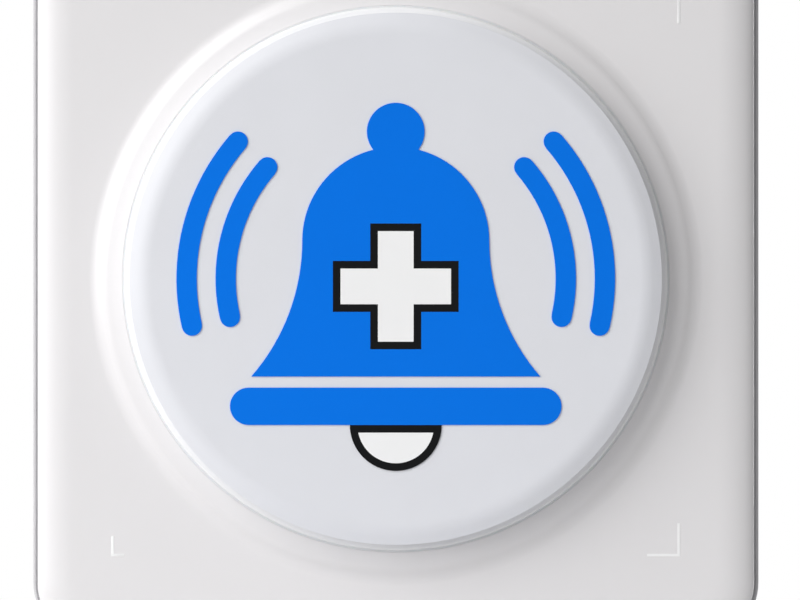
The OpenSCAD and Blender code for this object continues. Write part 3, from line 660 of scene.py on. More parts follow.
def moulded(name, colour, roughness, grain, depth, mottle=0.02, spread=0.06, **constants):
    """An even surface with a faint mottle in its colour and a fine grain in its gloss.

    The grain's size and depth are in mm."""
    made, tree, shader, place = surface(name, **constants)
    cloud = add_node(tree, "ShaderNodeTexNoise", {"Vector": place, "Scale": 1 / MOTTLE, "Detail": 2.0})
    fine = add_node(tree, "ShaderNodeTexNoise", {"Vector": place, "Scale": 1 / (grain * MM), "Detail": 3.0})
    tinted(tree, shader, colour, cloud.outputs["Fac"], mottle)
    textured(tree, shader, fine.outputs["Fac"], roughness, spread, depth * MM)
    return made


def drawn(name, colour, roughness, along, **constants):
    """Metal with fine drawing or rolling lines: noise that is stretched along one axis."""
    made, tree, shader, place = surface(name, Metallic=1.0, **constants)
    squeeze = add_node(tree, "ShaderNodeMapping", {"Vector": place, "Scale": along})
    lines = add_node(tree, "ShaderNodeTexNoise", {
        "Vector": squeeze.outputs["Vector"], "Scale": 1 / LINE, "Detail": 4.0})
    tinted(tree, shader, colour, lines.outputs["Fac"], depth=0.08)
    textured(tree, shader, lines.outputs["Fac"], roughness, spread=0.07, depth=LINE_DEPTH)
    return made


def wave_scale(pitch):
    """The scale at which a wave texture repeats after a pitch."""
    return math.tau / (WAVE_TURN * pitch)


def lathe_cut(name, colour, roughness, centre):
    """Metal with fine turning rings about an axis out of the wall, through a point in bench axes."""
    made, tree, shader, place = surface(name, Metallic=1.0)
    shift = add_node(tree, "ShaderNodeMapping", {
        "Vector": place, "Location": (-centre.x, centre.z, -centre.y)})
    rings = add_node(tree, "ShaderNodeTexWave", {
        "Vector": shift.outputs["Vector"], "Scale": wave_scale(RING_PITCH),
        "Distortion": 0.4, "Detail": 2.0},
        wave_type="RINGS", rings_direction="Y")
    tinted(tree, shader, colour, rings.outputs["Fac"], depth=0.06)
    textured(tree, shader, rings.outputs["Fac"], roughness, spread=0.05, depth=LINE_DEPTH)
    return made


def circuit(name, mask, trace, pitch, field):
    """A board under glossy solder mask: fields of lighter traces run across or up the board below it.

    The traces' pitch and the size of the fields are in mm."""
    made, tree, shader, place = surface(name, Coat_Weight=0.3)
    fields = add_node(tree, "ShaderNodeTexVoronoi", {"Vector": place, "Scale": 1 / (field * MM)},
                      distance="CHEBYCHEV")
    chance = add_node(tree, "ShaderNodeSeparateColor", {"Color": fields.outputs["Color"]}).outputs
    wave = {"Vector": place, "Scale": wave_scale(pitch * MM)}
    across = add_node(tree, "ShaderNodeTexWave", wave, bands_direction="Z")
    upward = add_node(tree, "ShaderNodeTexWave", wave, bands_direction="X")
    turned_up = add_node(tree, "ShaderNodeMath", {0: chance["Red"], 1: UPWARD_FIELDS},
                         operation="GREATER_THAN")
    routed = add_node(tree, "ShaderNodeMath", {0: chance["Green"], 1: BARE_FIELDS}, operation="GREATER_THAN")
    lanes = add_node(tree, "ShaderNodeMix", {
        "Factor": turned_up.outputs["Value"], "A": across.outputs["Fac"], "B": upward.outputs["Fac"]})
    ridge = add_node(tree, "ShaderNodeMapRange", {
        "Value": lanes.outputs["Result"], "From Min": TRACE_FOOT, "From Max": TRACE_TOP,
        "To Max": routed.outputs["Value"]}).outputs["Result"]
    mix = add_node(tree, "ShaderNodeMix", {"Factor": ridge, "A": linear(mask), "B": linear(trace)},
                   data_type="RGBA")
    tree.links.new(mix.outputs["Result"], shader.inputs["Base Color"])
    textured(tree, shader, ridge, roughness=0.3, spread=0.03, depth=TRACE_DEPTH)
    return made


def porous(name, colour, pore):
    """Closed-cell foam: small round pores, of a size in mm, that are pressed into a dull surface."""
    made, tree, shader, place = surface(name)
    cells = add_node(tree, "ShaderNodeTexVoronoi", {"Vector": place, "Scale": 1 / (pore * MM)})
    tinted(tree, shader, colour, cells.outputs["Distance"], depth=0.12)
    textured(tree, shader, cells.outputs["Distance"], roughness=0.85, spread=0.05, depth=PORE_DEPTH)
    return made


cell_low, cell_high = bench_box("coin_cell")
cell_middle = (cell_low + cell_high) / 2

# Moulded finishes give their roughness, then the size and depth of their grain in mm, and drawn ones the
# stretch of their lines. Grain, lines and traces are coarser than real ones, which are too fine to show.
finishes = {
    # Clean white housing with a soft gloss, so that the collar and the edges take clear highlights
    "cover_abs": moulded("gloss_white_abs", "#E7E5E6", 0.3, 1.2, 0.0002, mottle=0.004, spread=0.02),
    # Light grey plate, a little duller, which outlines the white cover
    "plate_abs": moulded("satin_grey_abs", "#D4D4D6", 0.45, 0.5, 0.004),
    # Whitest of the plastics: the bright ring round the button's face
    "carrier_abs": moulded("bright_white_abs", "#F1F1F2", 0.35, 0.7, 0.004),
    # Pale, cool grey of the button's face, with a fine satin grain
    "face_pc": moulded("satin_polycarbonate", "#E4E5EA", 0.42, 0.35, 0.003),
    # Even, strong blue of the printed bell
    "print_blue": moulded("blue_ink", "#0076EB", 0.4, 0.3, 0.002, Specular_IOR_Level=0.1),
    # Deep black of the printed outlines
    "print_black": moulded("black_ink", "#08090B", 0.4, 0.3, 0.002, Specular_IOR_Level=0.1),
    # Clear white of the printed plus sign, clapper and corner angles
    "print_white": moulded("white_ink", "#FAFAFA", 0.4, 0.3, 0.002, Specular_IOR_Level=0.1),
    # Dull dark rubber of the gaskets and the actuator pad
    "seal_rubber": moulded("dark_silicone", "#4A4D51", 0.62, 0.2, 0.004, mottle=0.06),
    # Soft white rubber that closes the gap round the button
    "wiper_silicone": moulded("white_silicone", "#E4E4E6", 0.55, 0.2, 0.004, Subsurface_Weight=0.1,
                              Subsurface_Scale=0.5 * MM),
    # Cream foam with fine pores
    "pad_foam": porous("foam_tape", "#E9E6DC", 0.35),
    # Off-white, unpainted moulding of the inner frame
    "chassis_abs": moulded("natural_abs", "#D9D8D2", 0.5, 0.4, 0.006, mottle=0.03),
    # Bluish bright zinc on the screws
    "screw_steel": moulded("zinc_plated_steel", "#B9BDC2", 0.33, 0.25, 0.001, mottle=0.08, Metallic=1.0),
    # Bright wire with drawing lines
    "spring_steel": drawn("drawn_spring_wire", "#B4B8BD", 0.28, (1, 1, 0.2)),
    # Reddish gold of enamelled wire
    "copper_wire": drawn("enamelled_copper_wire", "#C58A4A", 0.22, (0.2, 1, 1), Coat_Weight=0.6),
    # Pale, slightly warm sheet metal with rolling lines
    "tinned_steel": drawn("tinned_sheet_steel", "#C6C7C8", 0.3, (1, 1, 0.05)),
    # Bright nickel with turning rings about the cell's axis
    "cell_steel": lathe_cut("nickel_plated_steel", "#C8CACD", 0.24, cell_middle),
    # Warm yellow contact metal
    "contact_brass": drawn("gilt_brass", "#C9B27A", 0.28, (0.1, 1, 1)),
    # Green solder mask over copper traces
    "board_fr4": circuit("green_solder_mask", "#14532D", "#2B8049", 1.1, 8),
    # Blue solder mask over copper traces
    "radio_fr4": circuit("blue_solder_mask", "#163E70", "#2F6DB0", 0.8, 4),
    # Black glass-filled nylon with a coarse grain
    "switch_nylon": moulded("glass_filled_nylon", "#232427", 0.55, 0.25, 0.01, mottle=0.15),
    # Smoother dark grey nylon of the plunger
    "plunger_nylon": moulded("dark_nylon", "#303237", 0.4, 0.4, 0.004, mottle=0.08),
    # Dull black of moulded chip cases
    "chip_epoxy": moulded("mould_epoxy", "#1C1D1F", 0.6, 0.12, 0.006, mottle=0.1),
    # Tan, fired ceramic
    "ceramic": moulded("fired_ceramic", "#B99A6B", 0.5, 0.15, 0.004, mottle=0.1),
}

# Frame sizes that several pieces share

plate_low, plate_high = bench_box("wall_plate")
cover_low, cover_high = bench_box("front_cover")
carrier_low, carrier_high = bench_box("button_carrier")
face_low, face_high = bench_box("face_cap")
wiper_low, wiper_high = bench_box("wiper_ring")
seal_low, seal_high = bench_box("perimeter_seal")
pads_low, pads_high = bench_box("adhesive_pads")
button_seal_low, button_seal_high = bench_box("button_seal")
lock_low, lock_high = bench_box("cover_lock_screw")
spring_low, spring_high = bench_box("return_spring_1")

cover_corner = PLATE_CORNER - PLATE_REVEAL - SHADOW_GAP
cover_front = cover_high.z - COLLAR_RISE
ceiling = cover_front - FRONT_WALL
cavity = cover_high.x - COVER_WALL
cavity_corner = cover_corner - COVER_WALL
seal_corner = cover_corner - (cover_high.x - seal_high.x)
rib_out = cavity - RIB_CLEAR
rib_low = PLATE - ROOT
hook_low = PLATE + RIB_HEIGHT - HOOK.z
button_r = carrier_high.x - FLANGE.x
bore_r = button_r + BUTTON_GAP
carrier_under = carrier_high.z - FACE_SEAT - CARRIER_TOP
chassis_top = spring_low.z
chassis_under = chassis_top - CHASSIS
guide_at = (spring_low.x + spring_high.x) / 2
boss_at = bench_box("chassis_screws")[1].x - CHASSIS_HEAD.x
pcb_screw_at = bench_box("pcb_screws")[1].x - PCB_HEAD.x
lock_seat = Vector((0, lock_low.y + LOCK_HEAD.y, (lock_low.z + lock_high.z) / 2))
plunger_r = bench_box("switch_plunger")[1].x
cell_axis = axis_of("coin_cell")


# Housing

def collar_section():
    """From the foot on the front, up its hollow curve and shoulder to the lip, and down the bore."""
    top = cover_high.z
    slope = math.radians(COLLAR_SLOPE)
    steep = math.radians(COLLAR_STEEP)
    slope_end = Vector((bore_r + COLLAR_LIP + COLLAR_SLOPE_WIDTH,
                        top - COLLAR_SLOPE_WIDTH * math.tan(slope)))
    shoulder = slope_end - COLLAR_SHOULDER * Vector((math.sin(slope), math.cos(slope)))
    steepest = shoulder + COLLAR_SHOULDER * Vector((math.sin(steep), math.cos(steep)))
    foot_r = (steepest.y - cover_front) / (1 - math.cos(steep))
    foot = steepest + foot_r * Vector((math.sin(steep), math.cos(steep)))
    groove_r = wiper_high.x + LAY_CLEAR / 2
    groove_low = wiper_low.z - LAY_CLEAR / 2
    groove_high = wiper_high.z + LAY_CLEAR / 2
    return [
        *arc(foot, foot_r, 270, 270 - COLLAR_STEEP, EDGE_SIDES),
        *arc(shoulder, COLLAR_SHOULDER, 90 - COLLAR_STEEP, 90 - COLLAR_SLOPE, EDGE_SIDES)[1:],
        *arc((bore_r + COLLAR_LIP, top - COLLAR_LIP), COLLAR_LIP, 90, 180, LIP_SIDES),
        (bore_r, groove_high), (groove_r, groove_high), (groove_r, groove_low), (bore_r, groove_low),
        (bore_r, ceiling)]


def cover_shell():
    """Outside, hollow and collar, closed along the rim, the front and the inside of the front."""
    wall = Vector((COVER_WALL, COVER_WALL, 0))
    shell = rounded_box("front_cover_shell", cover_low,
                        Vector((*cover_high.xy, cover_front - COVER_EDGE.y)), cover_corner)
    dome_edge(shell, cover_front - COVER_EDGE.y, COVER_EDGE, EDGE_SIDES)
    without_faces(shell, cover_low.z, cover_front)
    hollow = rounded_box("hollow", cover_low + wall, Vector((*cover_high.xy, ceiling)) - wall, cavity_corner)
    without_faces(hollow, cover_low.z, ceiling)
    join(shell, hollow, turned("collar", collar_section()))
    edit(shell)
    for z in (cover_low.z, cover_front, ceiling):
        pick(shell, "EDGE", open_at(z))
        bpy.ops.mesh.fill()
    leave()
    close_shell(shell)
    return shell


def corner_boss():
    """A screw boss in the upper right corner, tied to both walls by ribs."""
    foot = chassis_top + RUN_CLEAR
    top = ceiling + ROOT
    wall = cavity + ROOT
    near = boss_at - BOSS_RIB / 2
    far = boss_at + BOSS_RIB / 2
    piece = upright_rod("boss", boss_at, chassis_top, top, BOSS)
    across = block("rib", Vector((boss_at, near, foot)), Vector((wall, far, top)))
    along = block("rib", Vector((near, boss_at, foot)), Vector((far, wall, top)))
    unite(piece, across, along)
    return piece


def lock_rod(name, start, end, radius):
    """A round cutter along the lock screw, between two distances from the seat of its head."""
    return rod(name, lock_seat + Vector((0, start, 0)), lock_seat + Vector((0, end, 0)), radius)


def hook_blocks(name, root, room=0, soft=0):
    """A block for each hook, from a depth in the rib to the hook's end, with some room round the hook."""
    half = HOOK.x / 2 + room
    return [
        block(name, Vector((x - half, rib_out - root, hook_low - room)),
              Vector((x + half, rib_out + HOOK.y + room, hook_low + HOOK.z + room)), soft)
        for x in (-HOOK_PITCH / 2, HOOK_PITCH / 2)]


def front_cover():
    """The shell with its four bosses, the pockets for the hooks and the way in for the lock screw."""
    piece = cover_shell()
    unite(piece, four(corner_boss()))
    pilot = upright_rod("pilot", boss_at, chassis_top - ROOT, chassis_top + CHASSIS_SCREW.y + ROOT,
                        CHASSIS_SCREW.x + RUN_CLEAR)
    cut(piece, four(pilot), *hook_blocks("pocket", ROOT, room=HOOK_CLEAR),
        lock_rod("through", -ROOT, COVER_WALL + ROOT, LOCK_SCREW + THROUGH_CLEAR),
        lock_rod("counterbore", -LOCK_HEAD.y - ROOT, 0, LOCK_HEAD.x + THROUGH_CLEAR))
    stand_up(piece, "front_cover")


def corner_marks():
    """Fine angles printed near three corners of the front."""
    foot = (cover_front - MARK.y) * UP
    top = (cover_front + MARK.y) * UP
    marks = []
    for scale, corner, arms in MARKS:
        mark = block("front_cover_marks", corner - Vector((arms.x, MARK.x, 0)) + foot, corner + top)
        unite(mark, block("arm", corner - Vector((MARK.x, arms.y, 0)) + foot, corner + top))
        soften(mark, top.z, MARK.y / 2, sides=2)
        marks.append(mirrored(mark, scale))
    stand_up(join(*marks), "front_cover", slot="print_white", replace=False)


def plate_body():
    """The plate and its rim, whose top falls a little towards the shadow gap."""
    rim_top = PLATE + PLATE_RIM
    piece = rounded_box("wall_plate_moulding", plate_low, Vector((*plate_high.xy, rim_top)), PLATE_CORNER)
    soften(piece, rim_top, PLATE_EDGE, sides=3)
    soften(piece, plate_low.z, PLATE_BACK_EDGE, sides=3)
    edit(piece)
    pick(piece, "FACE", at_height(rim_top))
    bpy.ops.mesh.inset(thickness=PLATE_RIM_WIDTH - 2 * PLATE_EDGE, depth=-PLATE_RIM_FALL)
    bpy.ops.mesh.inset(thickness=PLATE_EDGE, depth=-PLATE_EDGE)
    fall = PLATE_EDGE + PLATE_RIM_FALL - PLATE_RIM
    bpy.ops.mesh.extrude_region_move(TRANSFORM_OT_translate={"value": (0, 0, fall)})
    leave()
    close_shell(piece)
    return piece


def up_arrow():
    """A cutter for the triangle that shows which way is up; two thirds of its height are its radius."""
    radius = ARROW.y * 2 / 3
    return add("arrow", bpy.ops.mesh.primitive_cylinder_add, vertices=3, radius=radius,
               depth=2 * ARROW_DEPTH, location=(0, pads_high.y + ARROW_UP + radius / 2, 0),
               scale=(ARROW.x / (math.sqrt(3) * radius), 1, 1))


def plate_cutters():
    """Cutters for the seal's channel, the pads' pockets, the fixing slots, the arrow and the lock screw."""
    room = Vector((LAY_CLEAR, LAY_CLEAR, 0))
    channel = band("channel", seal_low - room, seal_high + room + ROOT * UP, seal_corner + LAY_CLEAR,
                   SEAL + 2 * LAY_CLEAR)
    pocket = block("pad_pocket", Vector((pads_low.x, pads_high.y - PAD_HEIGHT, -ROOT)) - room,
                   pads_high + room)
    half = FIXING_SLOT / 2
    slot = rounded_box("slot", Vector((FIXING_PITCH / 2 - half.x, -half.y, -ROOT)),
                       Vector((FIXING_PITCH / 2 + half.x, half.y, PLATE + ROOT)), FULL_ROUND * half.y)
    thread = lock_rod("thread", -ROOT, -lock_seat.y, LOCK_SCREW + RUN_CLEAR)
    return [channel, pocket, copied(pocket, turn=HALF_TURN), slot, copied(slot, turn=HALF_TURN), up_arrow(),
            thread]


def wall_plate():
    """The plate with the rib that the cover slips over, two hooks at its top and the lock screw's tab."""
    piece = plate_body()
    rib = band("rib", Vector((-rib_out, -rib_out, rib_low)), Vector((rib_out, rib_out, PLATE + RIB_HEIGHT)),
               cavity_corner - RIB_CLEAR, RIB)
    tab = block("lock_tab", Vector((-LOCK_TAB.x / 2, -rib_out, rib_low)),
                Vector((LOCK_TAB.x / 2, LOCK_TAB.y - rib_out, plate_high.z)), LOCK_TAB_EDGE)
    unite(piece, rib, *hook_blocks("hook", RIB, soft=HOOK_EDGE), tab)
    cut(piece, *plate_cutters())
    stand_up(piece, "wall_plate")


def perimeter_seal():
    """A gasket with a rounded bead that the cover's rim presses on."""
    piece = band("perimeter_seal_bead", seal_low, seal_high, seal_corner, SEAL)
    soften(piece, seal_high.z, SEAL_EDGE, sides=4)
    stand_up(piece, "perimeter_seal")


def adhesive_pads():
    """Two foam pads with rounded corners and slightly rounded edges."""
    piece = rounded_box("adhesive_pads_foam", Vector((pads_low.x, pads_high.y - PAD_HEIGHT, pads_low.z)),
                        pads_high, PAD_CORNER, PAD_CORNER_SIDES)
    for z in (pads_low.z, pads_high.z):
        soften(piece, z, PAD_EDGE, sides=2)
    join(piece, copied(piece, turn=HALF_TURN))
    stand_up(piece, "adhesive_pads")


# Screws

def pan_screw(name, shank_r, shank_l, head):
    """A pan-head screw with a cross recess, its seat at z = 0 and its threaded shank along +z."""
    pitch = THREAD_PITCH * shank_r
    root_r = shank_r - THREAD_DEPTH * shank_r
    edge = HEAD_EDGE * head.y
    turns = int((shank_l - pitch) / pitch)
    thread = []
    for k in range(turns):
        thread += [(root_r, pitch * k), (shank_r, pitch * (k + 0.5))]
    tip = [(root_r, pitch * turns), (SCREW_TIP * shank_r, shank_l)]
    crown = [(r, -z) for r, z in arc((head.x - edge, head.y - edge), edge, 90, 0, LIP_SIDES)]
    piece = turned(name, [*crown, (head.x, 0), *thread, *tip], ends="discs", sides=ROD_SIDES)
    close_shell(piece)
    reach = DRIVE_REACH * head.x
    for x, y in ((reach, DRIVE.x / 2), (DRIVE.x / 2, reach)):
        cut(piece, block("drive", Vector((-x, -y, -2 * head.y)), Vector((x, y, DRIVE.y - head.y))))
    return piece


def cover_lock_screw():
    """The screw that locks the cover to the plate's tab, driven up from below."""
    piece = pan_screw("cover_lock_screw_steel", LOCK_SCREW, lock_high.y - lock_seat.y, LOCK_HEAD)
    stand_up(moved(piece, lock_seat, turn=(-90, 0, 0)), "cover_lock_screw")


def corner_screws(node, at, seat, shank_r, head):
    """Four equal screws, driven from the wall's side."""
    piece = pan_screw(node + "_steel", shank_r, bench_box(node)[1].z - seat, head)
    stand_up(four(moved(piece, (at, at, seat))), node)


# Button

def button_carrier():
    """A cap with a skirt and a flange, and in it four guide posts, stiffening webs and the press boss."""
    top = carrier_high.z - FACE_SEAT
    flange_top = button_seal_low.z - SEAL_GAP
    inner = button_r - SKIRT
    seat_r = face_high.x - FACE_WALL - LAY_CLEAR
    piece = turned("button_carrier_moulding", [
        (inner, carrier_under), (inner, flange_top - FLANGE.y), (carrier_high.x, flange_top - FLANGE.y),
        (carrier_high.x, flange_top), (button_r, flange_top),
        *arc((button_r - CARRIER_EDGE, top - CARRIER_EDGE), CARRIER_EDGE, 0, 90, LIP_SIDES),
        (seat_r, top), (seat_r, carrier_high.z)], ends="discs")
    close_shell(piece)
    root = carrier_under + ROOT
    post = upright_rod("post", guide_at, carrier_low.z, root, POST)
    soften(post, carrier_low.z, POST_EDGE, sides=3)
    half = WEB.x / 2
    web = block("web", Vector((0, -half, carrier_under - WEB.y)), Vector((inner + ROOT, half, root)))
    boss = upright_rod("press_boss", 0, bench_box("actuator_pad")[1].z, root, PRESS_BOSS)
    unite(piece, four(post), *quarter_turns(web), boss)
    stand_up(piece, "button_carrier")


def face_cap():
    """The button's face: a cap on the carrier's seat, whose flat top turns into a sloping edge."""
    face_r = face_high.x
    inner = face_r - FACE_WALL
    slope = math.radians(FACE_SLOPE)
    bend_r = FACE_BEND / math.sin(slope)
    bend = arc((face_r - FACE_EDGE, face_high.z - bend_r), bend_r, 90 - FACE_SLOPE, 90, EDGE_SIDES)
    brim = bend[0][1] - (face_r - bend[0][0]) * math.tan(slope)
    piece = turned("face_cap_disc", [
        (inner, face_low.z + FACE_SEAT), (inner, face_low.z), (face_r, face_low.z), (face_r, brim), *bend],
        ends="discs")
    stand_up(piece, "face_cap")


def wiper_ring():
    """A ring in the collar's groove, with a thin lip that stands up in the gap and wipes the button."""
    inner = button_r + WIPER_GAP
    outer = bore_r - WIPER_GAP
    edge = WIPER_LIP_EDGE
    lip = cover_high.z - WIPER_LIP_SINK - edge
    piece = turned("wiper_ring_lip", [
        (wiper_high.x, wiper_low.z), (wiper_high.x, wiper_high.z), (outer, wiper_high.z),
        *arc((outer - edge, lip), edge, 0, 90, LIP_SIDES),
        *arc((inner + edge, lip), edge, 90, 180, LIP_SIDES), (inner, wiper_low.z)], ends="bridged")
    stand_up(piece, "wiper_ring")


def button_seal():
    """A flat gasket with rounded edges."""
    low = button_seal_low.z
    high = button_seal_high.z
    bore = bore_r + BUTTON_GAP + GASKET_EDGE
    piece = turned("button_seal_gasket", [
        *round_rim(button_seal_high.x, low, high, GASKET_EDGE, GASKET_SIDES),
        *arc((bore, high - GASKET_EDGE), GASKET_EDGE, 90, 180, GASKET_SIDES),
        *arc((bore, low + GASKET_EDGE), GASKET_EDGE, 180, 270, GASKET_SIDES)], ends="bridged")
    stand_up(piece, "button_seal")


def actuator_pad():
    """A rubber disc with rounded edges."""
    low, high = bench_box("actuator_pad")
    section = round_rim(high.x, low.z, high.z, ACTUATOR_EDGE, SOFT_SIDES)
    stand_up(turned("actuator_pad_rubber", section, ends="discs", sides=ROD_SIDES), "actuator_pad")


# Springs and chassis

def coil(name, radius, wire, stretches, hand=1):
    """Round wire wound about z, in stretches of (turns, rise) above each other, still open at its ends."""
    parts = []
    height = 0
    for turns, rise in stretches:
        part = add(name, bpy.ops.mesh.primitive_circle_add, vertices=WIRE_SIDES, radius=wire,
                   location=(radius, 0, height), rotation=(math.radians(90), 0, 0))
        steps = int(STEPS_PER_TURN * turns)
        apply(part, "SCREW", axis="Z", angle=hand * math.tau * turns, screw_offset=rise, steps=steps,
              render_steps=steps)
        parts.append(part)
        height += rise
    piece = parts[0]
    if len(parts) > 1:
        join(*parts)
    close_shell(piece)
    return piece


def close_ends(piece):
    edit(piece)
    pick(piece, "EDGE", is_open)
    bpy.ops.mesh.fill_holes(sides=0)
    leave()


def return_springs():
    """Four compression springs, whose end turns lie close, on the chassis round its sleeves."""
    radius = (spring_high.x - spring_low.x) / 2 - SPRING_WIRE
    height = spring_high.z - spring_low.z
    end_turn = (1, SPRING_END_RISE)
    free_turns = (SPRING_TURNS, height - 2 * SPRING_WIRE - 2 * SPRING_END_RISE)
    first = coil("spring", radius, SPRING_WIRE, [end_turn, free_turns, end_turn])
    close_ends(first)
    moved(first, (0, 0, spring_low.z + SPRING_WIRE))
    for k in range(4):
        node = f"return_spring_{k + 1}"
        piece = copied(first, place=axis_of(node))
        piece.name = node + "_wire"
        stand_up(piece, node, smooth=WIRE_SMOOTH)
        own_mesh(piece)
    bpy.data.objects.remove(first)


def end_stop():
    """The ring on the chassis that the button's flange meets at the end of its travel."""
    outer = carrier_high.x - BUTTON_GAP
    inner = outer - STOP.x
    foot = chassis_top - ROOT
    top = chassis_top + STOP.y
    piece = turned("end_stop", [(outer, foot), (outer, top), (inner, top), (inner, foot)], ends="bridged")
    close_shell(piece)
    return piece


def chassis():
    """A frame plate with four guide sleeves, the button's end stop and pads for the circuit board."""
    low, high = bench_box("chassis")
    piece = rounded_box("chassis_moulding", Vector((*low.xy, chassis_under)),
                        Vector((*high.xy, chassis_top)), CHASSIS_CORNER)
    for z in (chassis_under, chassis_top):
        soften(piece, z, CHASSIS_EDGE, sides=2)
    sleeve = upright_rod("sleeve", guide_at, chassis_under, high.z, POST + RUN_CLEAR + SLEEVE)
    soften(sleeve, high.z, CHASSIS_EDGE, sides=2)
    pad = upright_rod("standoff", pcb_screw_at, low.z, chassis_under + ROOT, STANDOFF)
    unite(piece, end_stop(), four(sleeve), four(pad))
    below = low.z - ROOT
    above = high.z + ROOT
    window = bench_box("switch_body")[1].x + WINDOW_CLEAR
    notch_x = LOCK_TAB.x / 2 + THROUGH_CLEAR
    notch_y = LOCK_TAB.y - rib_out + THROUGH_CLEAR
    cut(piece,
        block("notch", Vector((-notch_x, low.y - ROOT, below)), Vector((notch_x, notch_y, above))),
        block("window", Vector((-window, -window, below)), Vector((window, window, above))),
        four(upright_rod("bore", guide_at, below, above, POST + RUN_CLEAR)),
        four(upright_rod("hole", boss_at, below, above, CHASSIS_SCREW.x + THROUGH_CLEAR)),
        four(upright_rod("pilot", pcb_screw_at, below, above, PCB_SCREW + RUN_CLEAR)))
    stand_up(piece, "chassis")


# Switch

def switch_body():
    """A case with a bore for the plunger."""
    low, high = bench_box("switch_body")
    piece = block("switch_body_case", low, high, SWITCH_EDGE)
    cut(piece, upright_rod("bore", 0, low.z + SWITCH_FLOOR, high.z + ROOT, plunger_r + RUN_CLEAR))
    stand_up(piece, "switch_body")


def switch_frame():
    """A sheet over the case, with a hole for the plunger and a rivet in each corner."""
    low, high = bench_box("switch_frame")
    sheet_top = high.z - RIVET.y
    piece = block("switch_frame_sheet", low, Vector((*high.xy, sheet_top)), SWITCH_FRAME_EDGE)
    cut(piece, upright_rod("bore", 0, low.z - ROOT, high.z + ROOT, plunger_r + THROUGH_CLEAR))
    rivet = turned("rivet", [
        (RIVET.x, low.z + RIVET.y / 2), (RIVET.x, sheet_top),
        *arc((RIVET.x - RIVET.y, sheet_top), RIVET.y, 0, 90, LIP_SIDES)[1:]],
        ends="discs", sides=SMALL_SIDES)
    close_shell(rivet)
    rivet_at = high.x - RIVET_INSET
    unite(piece, four(moved(rivet, (rivet_at, rivet_at, 0))))
    stand_up(piece, "switch_frame")


def switch_plunger():
    """A round bar with a rounded end and a shallow dish in it."""
    low, high = bench_box("switch_plunger")
    edge = PLUNGER_EDGE
    piece = turned("switch_plunger_cap", [
        (plunger_r, low.z), *arc((plunger_r - edge, high.z - edge), edge, 0, 90, LIP_SIDES),
        (DISH_RIM * plunger_r, high.z), (DISH_FLOOR * plunger_r, high.z - DISH_DEPTH)],
        ends="discs", sides=ROD_SIDES)
    stand_up(piece, "switch_plunger")


def contact_dome():
    """The snap spring below the plunger."""
    low, high = bench_box("contact_dome")
    section = [(across * high.x, low.z + up * (high.z - low.z)) for across, up in DOME]
    stand_up(turned("contact_dome_spring", section, ends="discs", sides=ROD_SIDES), "contact_dome")


def switch_terminals():
    """Four blades with rounded edges."""
    low, high = bench_box("switch_terminals")
    piece = block("switch_terminals_blades", Vector((high.x - TERMINAL.x, high.y - TERMINAL.y, low.z)), high)
    round_edges(piece, is_upright, TERMINAL_EDGE, sides=2)
    for scale in ((1, -1, 1), (-1, 1, 1)):
        join(piece, mirrored(copied(piece), scale))
    stand_up(piece, "switch_terminals")


# Battery

def battery_holder():
    """A cup for the cell, with a hole for the contact in its floor and a thumb notch at its lower side."""
    low, high = bench_box("battery_holder")
    outer = (high.x - low.x) / 2
    bore = CELL.x + LAY_CLEAR
    floor_z = cell_low.z + CELL.y
    hole = CONTACT + LAY_CLEAR
    edge = HOLDER_EDGE
    piece = turned("battery_holder_cup", [
        (hole, floor_z), (bore, floor_z), *arc((bore + edge, low.z + edge), edge, 180, 270, SOFT_SIDES),
        *arc((outer - edge, low.z + edge), edge, 270, 360, SOFT_SIDES), (outer, high.z), (hole, high.z)],
        ends="bridged")
    close_shell(piece)
    cut(piece, block("thumb_notch", Vector((-THUMB.x / 2, -outer - ROOT, low.z - ROOT)),
                     Vector((THUMB.x / 2, THUMB.y - bore, low.z + THUMB.z)), THUMB_EDGE))
    stand_up(moved(piece, cell_axis), "battery_holder")


def coin_cell():
    """A can with a ring pressed into its flat side, and a cap in its crimped rim."""
    ring_end = CELL_RING + CELL_RING_WIDTH
    ring_slope = CELL_RING_WIDTH / 4
    ring_floor = cell_low.z + CELL_GROOVE / 2
    can_top = cell_high.z - CELL_CAP.y
    crimp_low = can_top - CELL_GROOVE
    piece = turned("coin_cell_can", [
        (CELL_RING, cell_low.z), (CELL_RING + ring_slope, ring_floor),
        (ring_end - ring_slope, ring_floor), (ring_end, cell_low.z),
        *round_rim(CELL.x, cell_low.z, can_top, CELL_EDGE, LIP_SIDES),
        (CELL_CAP.x + CRIMP_MOUTH, can_top), (CELL_CAP.x + CRIMP_FLOOR, crimp_low), (CELL_CAP.x, crimp_low),
        (CELL_CAP.x, can_top + CELL_GROOVE), (CELL_CAP.x - CELL_GROOVE, cell_high.z)],
        ends="discs", sides=CELL_SIDES)
    stand_up(moved(piece, cell_axis), "coin_cell")


def battery_clip():
    """A strap across the cell, with a leg bent over at each end."""
    low, high = bench_box("battery_clip")
    piece = block("battery_clip_strap", low, Vector((*high.xy, low.z + CLIP)))
    for x in (low.x, high.x - CLIP):
        unite(piece, block("leg", Vector((x, low.y, low.z + CLIP / 2)), Vector((x + CLIP, high.y, high.z))))
    flat = at_height(low.z)

    def is_bend(edge):
        return flat(edge) and abs(edge.verts[0].co.x - edge.verts[1].co.x) < TINY

    round_edges(piece, is_bend, CLIP_BEND, sides=4)
    stand_up(piece, "battery_clip")


